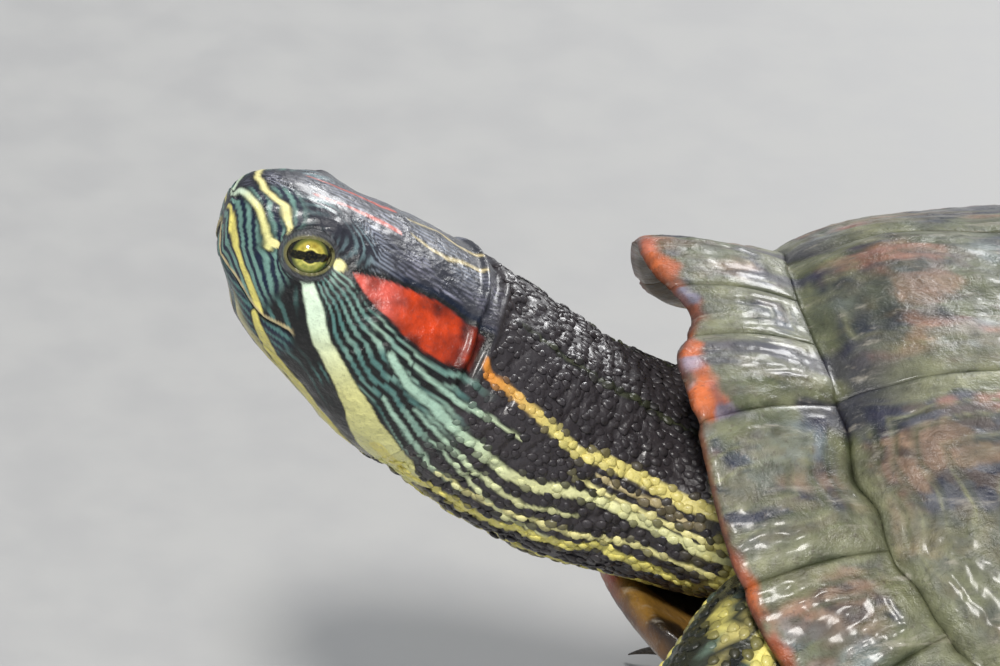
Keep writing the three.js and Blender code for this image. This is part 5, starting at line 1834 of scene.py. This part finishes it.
# %% The eyeballs
def eyeball(side, name):
    ahead, lengthwise, upwards = eye_axes(side)
    rows, columns = ((110, 144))
    out = np.pi * np.linspace(0.004, 0.996, rows) ** 1.25
    around = np.linspace(0, 2 * math.pi, columns, endpoint=False)
    flat_x = np.sin(out)[:, None] * np.cos(around)
    flat_y = np.sin(out)[:, None] * np.sin(around)
    ball = flat_x[..., None] * lengthwise + flat_y[..., None] * upwards + np.cos(out)[:, None, None] * ahead
    bulge = 1 + 0.035 * bell(out, 0.62)[:, None]
    centre_of_eye = left_eye_centre * np.array([1.0, side, 1.0])
    grid = centre_of_eye + ball * (EYE["radius"] * bulge)[..., None]
    distance = EYE["radius"] * out[:, None] + 0 * around
    level = EYE["radius"] * flat_y
    flow = np.stack([np.cos(around) + 0 * flat_x, np.sin(around) + 0 * flat_x, distance * 0.35], -1)
    fibre = noise(flow * 3.2 + 7 * side, 1.0, 701, 3)
    amber = mix(linear("#94802c"), linear("#cfc053"), (0.5 + 0.5 * fibre)[..., None])
    green = mix(linear("#8c9440"), linear("#cfc960"), (0.5 + 0.5 * fibre)[..., None])
    iris = mix(green, amber, smooth(-0.5, 1.4, level + 0.5 * fibre)[..., None])
    iris = mix(iris, linear("#3d4f22"), (smooth(2.1, 2.9, distance) * 0.85)[..., None])
    iris = mix(iris, linear("#10130f"), smooth(2.9, 3.4, distance)[..., None])
    bar_half = 0.42 + 0.48 * bell(distance, 2.0) + 0.22 * fibre
    bar = smooth(bar_half + 0.12, bar_half - 0.12, np.abs(level))
    iris = mix(iris, linear("#0a0906"), (0.99 * bar)[..., None])
    ring = bell(distance - 1.28, 0.16)
    iris = mix(iris, linear("#efe27a"), (0.75 * ring * (1 - bar))[..., None])
    iris = mix(linear("#020303"), iris, smooth(1.02, 1.14, distance)[..., None])
    points, faces = closed_rings(grid, grid[0].mean(0), grid[-1].mean(0))
    colours = np.concatenate([iris.reshape(-1, 3), [linear("#020303"), linear("#10130f")]])
    eye = new_mesh(name, shell_to_row(head_to_shell(points)), faces, {"tint": colours})
    finish_piece(eye, eye_finish)
    return eye


for side, name in ((1, "left"), (-1, "right")):
    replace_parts(eyeball(side, "eyeball_" + name), "eye_" + name)
print("eyes are made")

# %% [markdown]
# ## Plastron and bridges
#
# The under shell is a flat shield of twelve scutes, yellow with a dark blotch in each. Its
# front lip turns up under the neck, and a curved bridge joins each side to the rim. It is
# a plate between two grids, like the upper scutes, but all its seams lie on one surface,
# so here they are lines on the plan and the groove depends on the distance to them.

# %% Plan of the under shell
PLASTRON = {"front": -114.0, "rear": 106.0, "bottom": -46.0, "thickness": 6.0, "lip": 3.5, "notch": 8.0}
PLASTRON_HALF = [[-114, 27], [-100, 36], [-78, 43], [-58, 47], [-44, 56], [0, 59], [46, 56], [60, 48],
                 [80, 44], [95, 36], [106, 25]]
CROSS_SEAMS = [[-96, 9], [-70, 4], [-34, 3], [6, -2], [46, -3], [76, -7]]  # place and backward sweep
BRIDGE = {"front": -46.0, "rear": 50.0, "thickness": 4.5}


def under_seams(x, y):
    """Distance to the nearest seam."""
    middle_line = np.abs(y + 0.8 * np.sin(x / 11))
    gaps = [np.abs(x - at - sweep * (np.abs(y) / 40) ** 1.3) for at, sweep in CROSS_SEAMS]
    return np.minimum(middle_line, np.min(gaps, axis=0))


def plastron_grids():
    rows, columns = ((330, 150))
    a = np.linspace(0, 1, rows)[:, None]
    share = np.sin(np.linspace(-1, 1, columns) * math.pi / 2)[None] * 0.999
    x = mix(PLASTRON["front"], PLASTRON["rear"], a) + 0 * share
    y = share * along(PLASTRON_HALF, x)
    x = x + (1 - smooth(0, 0.2, a)) * 7 * share**2
    x = x - smooth(0.85, 1, a) * (PLASTRON["notch"] * bell(y, 9) + 6 * share**2)
    lift = PLASTRON["lip"] * (1 - smooth(-114, -96, x)) + 1.5 * share**4
    plan = np.stack([x, y, 0 * x], -1)
    seam = under_seams(x, y)
    edge = np.minimum((1 - np.abs(share)) * 45, np.minimum(a, 1 - a) * 220)
    rim_round = 1.6 * np.exp(-edge / 0.9)
    wander = seam + 0.9 * noise(plan, 10, 801, 2)
    groove = 0.6 * bell(seam, 0.45) + 0.2 * bell(seam, 1.5)
    growth = sum(0.10 * bell(wander - at, 0.4) for at in (2.4, 4.3, 6.6, 9.5))
    relief = groove + growth * smooth(0.6, 1.4, seam)
    relief = relief - 0.18 * noise(plan, 12, 807, 2) - 0.05 * noise(plan, 1.5, 811)
    top = PLASTRON["bottom"] + PLASTRON["thickness"]
    under = np.stack([x, y, PLASTRON["bottom"] + lift + rim_round + relief + 0.15], -1)
    above = np.stack([x, y, top + lift - rim_round - 0.5 * groove - 0.15], -1)
    return under, above, seam, plan


def blotches(plan, seam, seed):
    """Colours of the under shell: amber horn, a dark smudge inside each scute, stained seams."""
    fine = noise(plan, 6, seed, 3)
    centre_of_scute = smooth(3.0, 10.0, seam + 3.2 * noise(plan, 9, seed + 1, 2))
    amber = mix(linear("#d8a54a"), linear("#b9742b"), (0.5 + 0.5 * noise(plan, 20, seed + 2, 2))[..., None])
    smudge = mix(linear("#1d1712"), linear("#3c2c1c"), (0.5 + 0.5 * fine)[..., None])
    colour = mix(amber, smudge, (0.9 * centre_of_scute * smooth(-0.3, 0.25, fine + 0.35))[..., None])
    stain = bell(seam, 0.8) * 0.75
    return mix(colour, linear("#3a2413"), stain[..., None])


under, above, seam, plan = plastron_grids()
x = plan[..., 0]
share_across = np.abs(plan[..., 1]) / along(PLASTRON_HALF, x)
near_rim = np.minimum((1 - share_across) * 40, x - PLASTRON["front"])
plastron_tint = blotches(plan, seam, 821)
lip_edge = np.clip(smooth(-106, -113.5, x) + smooth(0.90, 0.985, share_across), 0, 1)
plastron_tint = mix(plastron_tint, linear("#c4562a"), (0.55 * lip_edge * smooth(-20, -60, x))[..., None])
# painted shade: the under face is darkened in a band inside the rim towards the front, as the shade where it
# is lifted off the floor
front_underside_shade = smooth(1.0, 2.4, near_rim) * smooth(26, 12, near_rim) * smooth(-60, -85, x)
plastron_tint = mix(plastron_tint, linear("#33261e"), (front_underside_shade * 0.8)[..., None])
outer, inner = shell_to_row(under), shell_to_row(above)
outer[..., 2] = np.maximum(outer[..., 2], 0.0)
inner[..., 2] = np.maximum(inner[..., 2], 0.5)
under_shell = plate_mesh("under_shell", outer, inner, {"edge": np.minimum(seam, 30)})
from_lip = near_rim + 1.5 * noise(plan, 6, 831, 2)
upper_face = mix(linear("#b8431c"), linear("#2a1f18"), smooth(0.8, 3.2, from_lip)[..., None])
upper_face = mix(upper_face, linear("#d09a3c"), (smooth(0.2, 0.5, noise(plan, 9, 833, 2)) * 0.35)[..., None])
both_faces = np.concatenate([plastron_tint.reshape(-1, 3), upper_face.reshape(-1, 3)])
colour_layer(under_shell.data, "tint", both_faces)
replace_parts(under_shell, "plastron")
finish_piece(under_shell, plastron_finish)
print("under shell points at the floor's level:", int((outer[..., 2] < 1e-6).sum()))


# %% The bridges
def bridge_piece(side, name):
    rows, columns = ((190, 80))
    a = np.linspace(0.004, 0.996, rows)[:, None]
    b = np.linspace(0.0, 1.0, columns)[None]
    x = mix(BRIDGE["front"], BRIDGE["rear"], a) + 0 * b
    foot = along(PLASTRON_HALF, x) - 3
    rise = np.sin(b * math.pi / 2)
    out = mix(foot, 84.0, 1 - np.cos(b * math.pi / 2) * (1 - 0.35 * rise))
    lean = b * math.pi * 0.28 + 0 * x
    z = mix(PLASTRON["bottom"] + 1.2, -17.0, b**1.25) + 0 * x
    plan_b = np.stack([x, out, z], -1)
    seam_b = np.minimum(np.abs(x - 2 - 2.5 * rise), np.abs(b - 0.52 - 0.03 * noise(plan_b, 20, 851)) * 42)
    relief = 0.5 * bell(seam_b, 0.45) + 0.12 * noise(plan_b, 8, 853, 2) + 0.05 * noise(plan_b, 1.7, 857)

    def at_depth(depth):
        return np.stack([x, side * (out - depth * np.sin(lean)), z + depth * np.cos(lean)], -1)

    colour = blotches(plan_b, seam_b, 861)
    outside = shell_to_row(at_depth(0.2 + relief))
    inside = shell_to_row(at_depth(BRIDGE["thickness"] - 0.2 + 0 * relief))
    piece = plate_mesh(name, outside, inside, {"tint": colour, "edge": seam_b})
    finish_piece(piece, plastron_finish)
    return piece


for side, name in ((-1, "bridge_left"), (1, "bridge_right")):
    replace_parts(bridge_piece(side, name + "_horn"), name)
print("bridges are made")

# %% [markdown]
# ## Floor, light and camera
#
# The model stands on a wide, plain, pale floor in an evenly lit room. One
# large soft light from the upper left front shapes the head, a second fills the shadow
# side, and a narrow one from behind draws the wet rim of the shell.

# %% Floor
JUST_BELOW = -0.02  # keeps the floor from sharing a plane with the feet
across_floor = np.linspace(-6000, 6000, 5)
fx, fy = np.meshgrid(across_floor, across_floor, indexing="ij")
floor_points = np.stack([fx, fy, np.full(fx.shape, JUST_BELOW)], -1).reshape(-1, 3)
floor = new_mesh("floor", floor_points, grid_quads(*fx.shape).tolist())
f = Finish("pale floor")
grain_of_floor = f.noise(60, 4, 0.5)
colour = f.blend(f.span(grain_of_floor, 0.3, 0.7), (0.40, 0.40, 0.40), (0.43, 0.43, 0.425))
f.bump([(grain_of_floor, 0.05, 0.0005)])
floor.data.materials.append(f.surface(colour, f.span(grain_of_floor, 0.3, 0.7, 0.55, 0.7)))


# %% Lights
def soft_light(name, place_of, aim, power, width, tone=(1.0, 1.0, 1.0), gleams=True):
    data = bpy.data.lights.new(name, "AREA")
    data.shape = "DISK"
    data.size = width
    data.energy = power
    data.color = tone
    thing = linked(name, data)
    thing.location = place_of
    thing.visible_glossy = gleams
    way = Vector(aim) - Vector(place_of)
    thing.rotation_euler = way.to_track_quat("-Z", "Y").to_euler()


soft_light("key", (-0.35, -0.75, 1.35), (-0.02, 0.0, 0.08), 21, 0.26, (1.0, 0.97, 0.93))
soft_light("fill", (0.3, -1.5, 0.55), (0.0, 0.0, 0.06), 6, 1.2, (0.88, 0.94, 1.0), False)
soft_light("edge", (0.55, 1.0, 0.8), (0.0, 0.0, 0.08), 12, 0.4)
world = bpy.data.worlds.new("studio")
world.use_nodes = True
sky = world.node_tree.nodes["Background"].inputs
sky["Color"].default_value = (0.72, 0.78, 0.85, 1)
sky["Strength"].default_value = 0.35
bpy.context.scene.world = world

# %% Camera
VIEW = {"azimuth": 10.5, "elevation": 30.0, "roll": 4.0, "distance": 1000.0, "per_mm": 6.0}
PICTURE = (1000, 666)
AIM_PIXEL = (690, 312)  # where the notch of the neck plate stands in the picture
a, e, r = (math.radians(VIEW[key]) for key in ("azimuth", "elevation", "roll"))
outwards = np.array([-math.sin(a) * math.cos(e), -math.cos(a) * math.cos(e), math.sin(e)])
level_right = np.array([math.cos(a), -math.sin(a), 0.0])
steep_up = np.cross(outwards, level_right)
right = level_right * math.cos(r) + steep_up * math.sin(r)
upward = -level_right * math.sin(r) + steep_up * math.cos(r)
notch = shell_to_row(np.array([-115.0, 0, 8.0]))
off_x = (AIM_PIXEL[0] - PICTURE[0] / 2) / VIEW["per_mm"]
off_y = (PICTURE[1] / 2 - AIM_PIXEL[1]) / VIEW["per_mm"]
eye_of_camera = notch + outwards * VIEW["distance"] - right * off_x - upward * off_y
lens = bpy.data.cameras.new("camera")
SENSOR = 36.0
lens.sensor_width = SENSOR
lens.lens = SENSOR * VIEW["distance"] * VIEW["per_mm"] / PICTURE[0]
lens.clip_end = 20.0
camera = linked("camera", lens)
pose = Matrix((Vector(right), Vector(upward), Vector(outwards))).transposed().to_4x4()
pose.translation = Vector(eye_of_camera / 1000)
camera.matrix_world = pose
bpy.context.scene.camera = camera
bpy.context.scene.view_settings.view_transform = "Standard"
print("camera stands", round(float(eye_of_camera[2])), "mm above the floor")
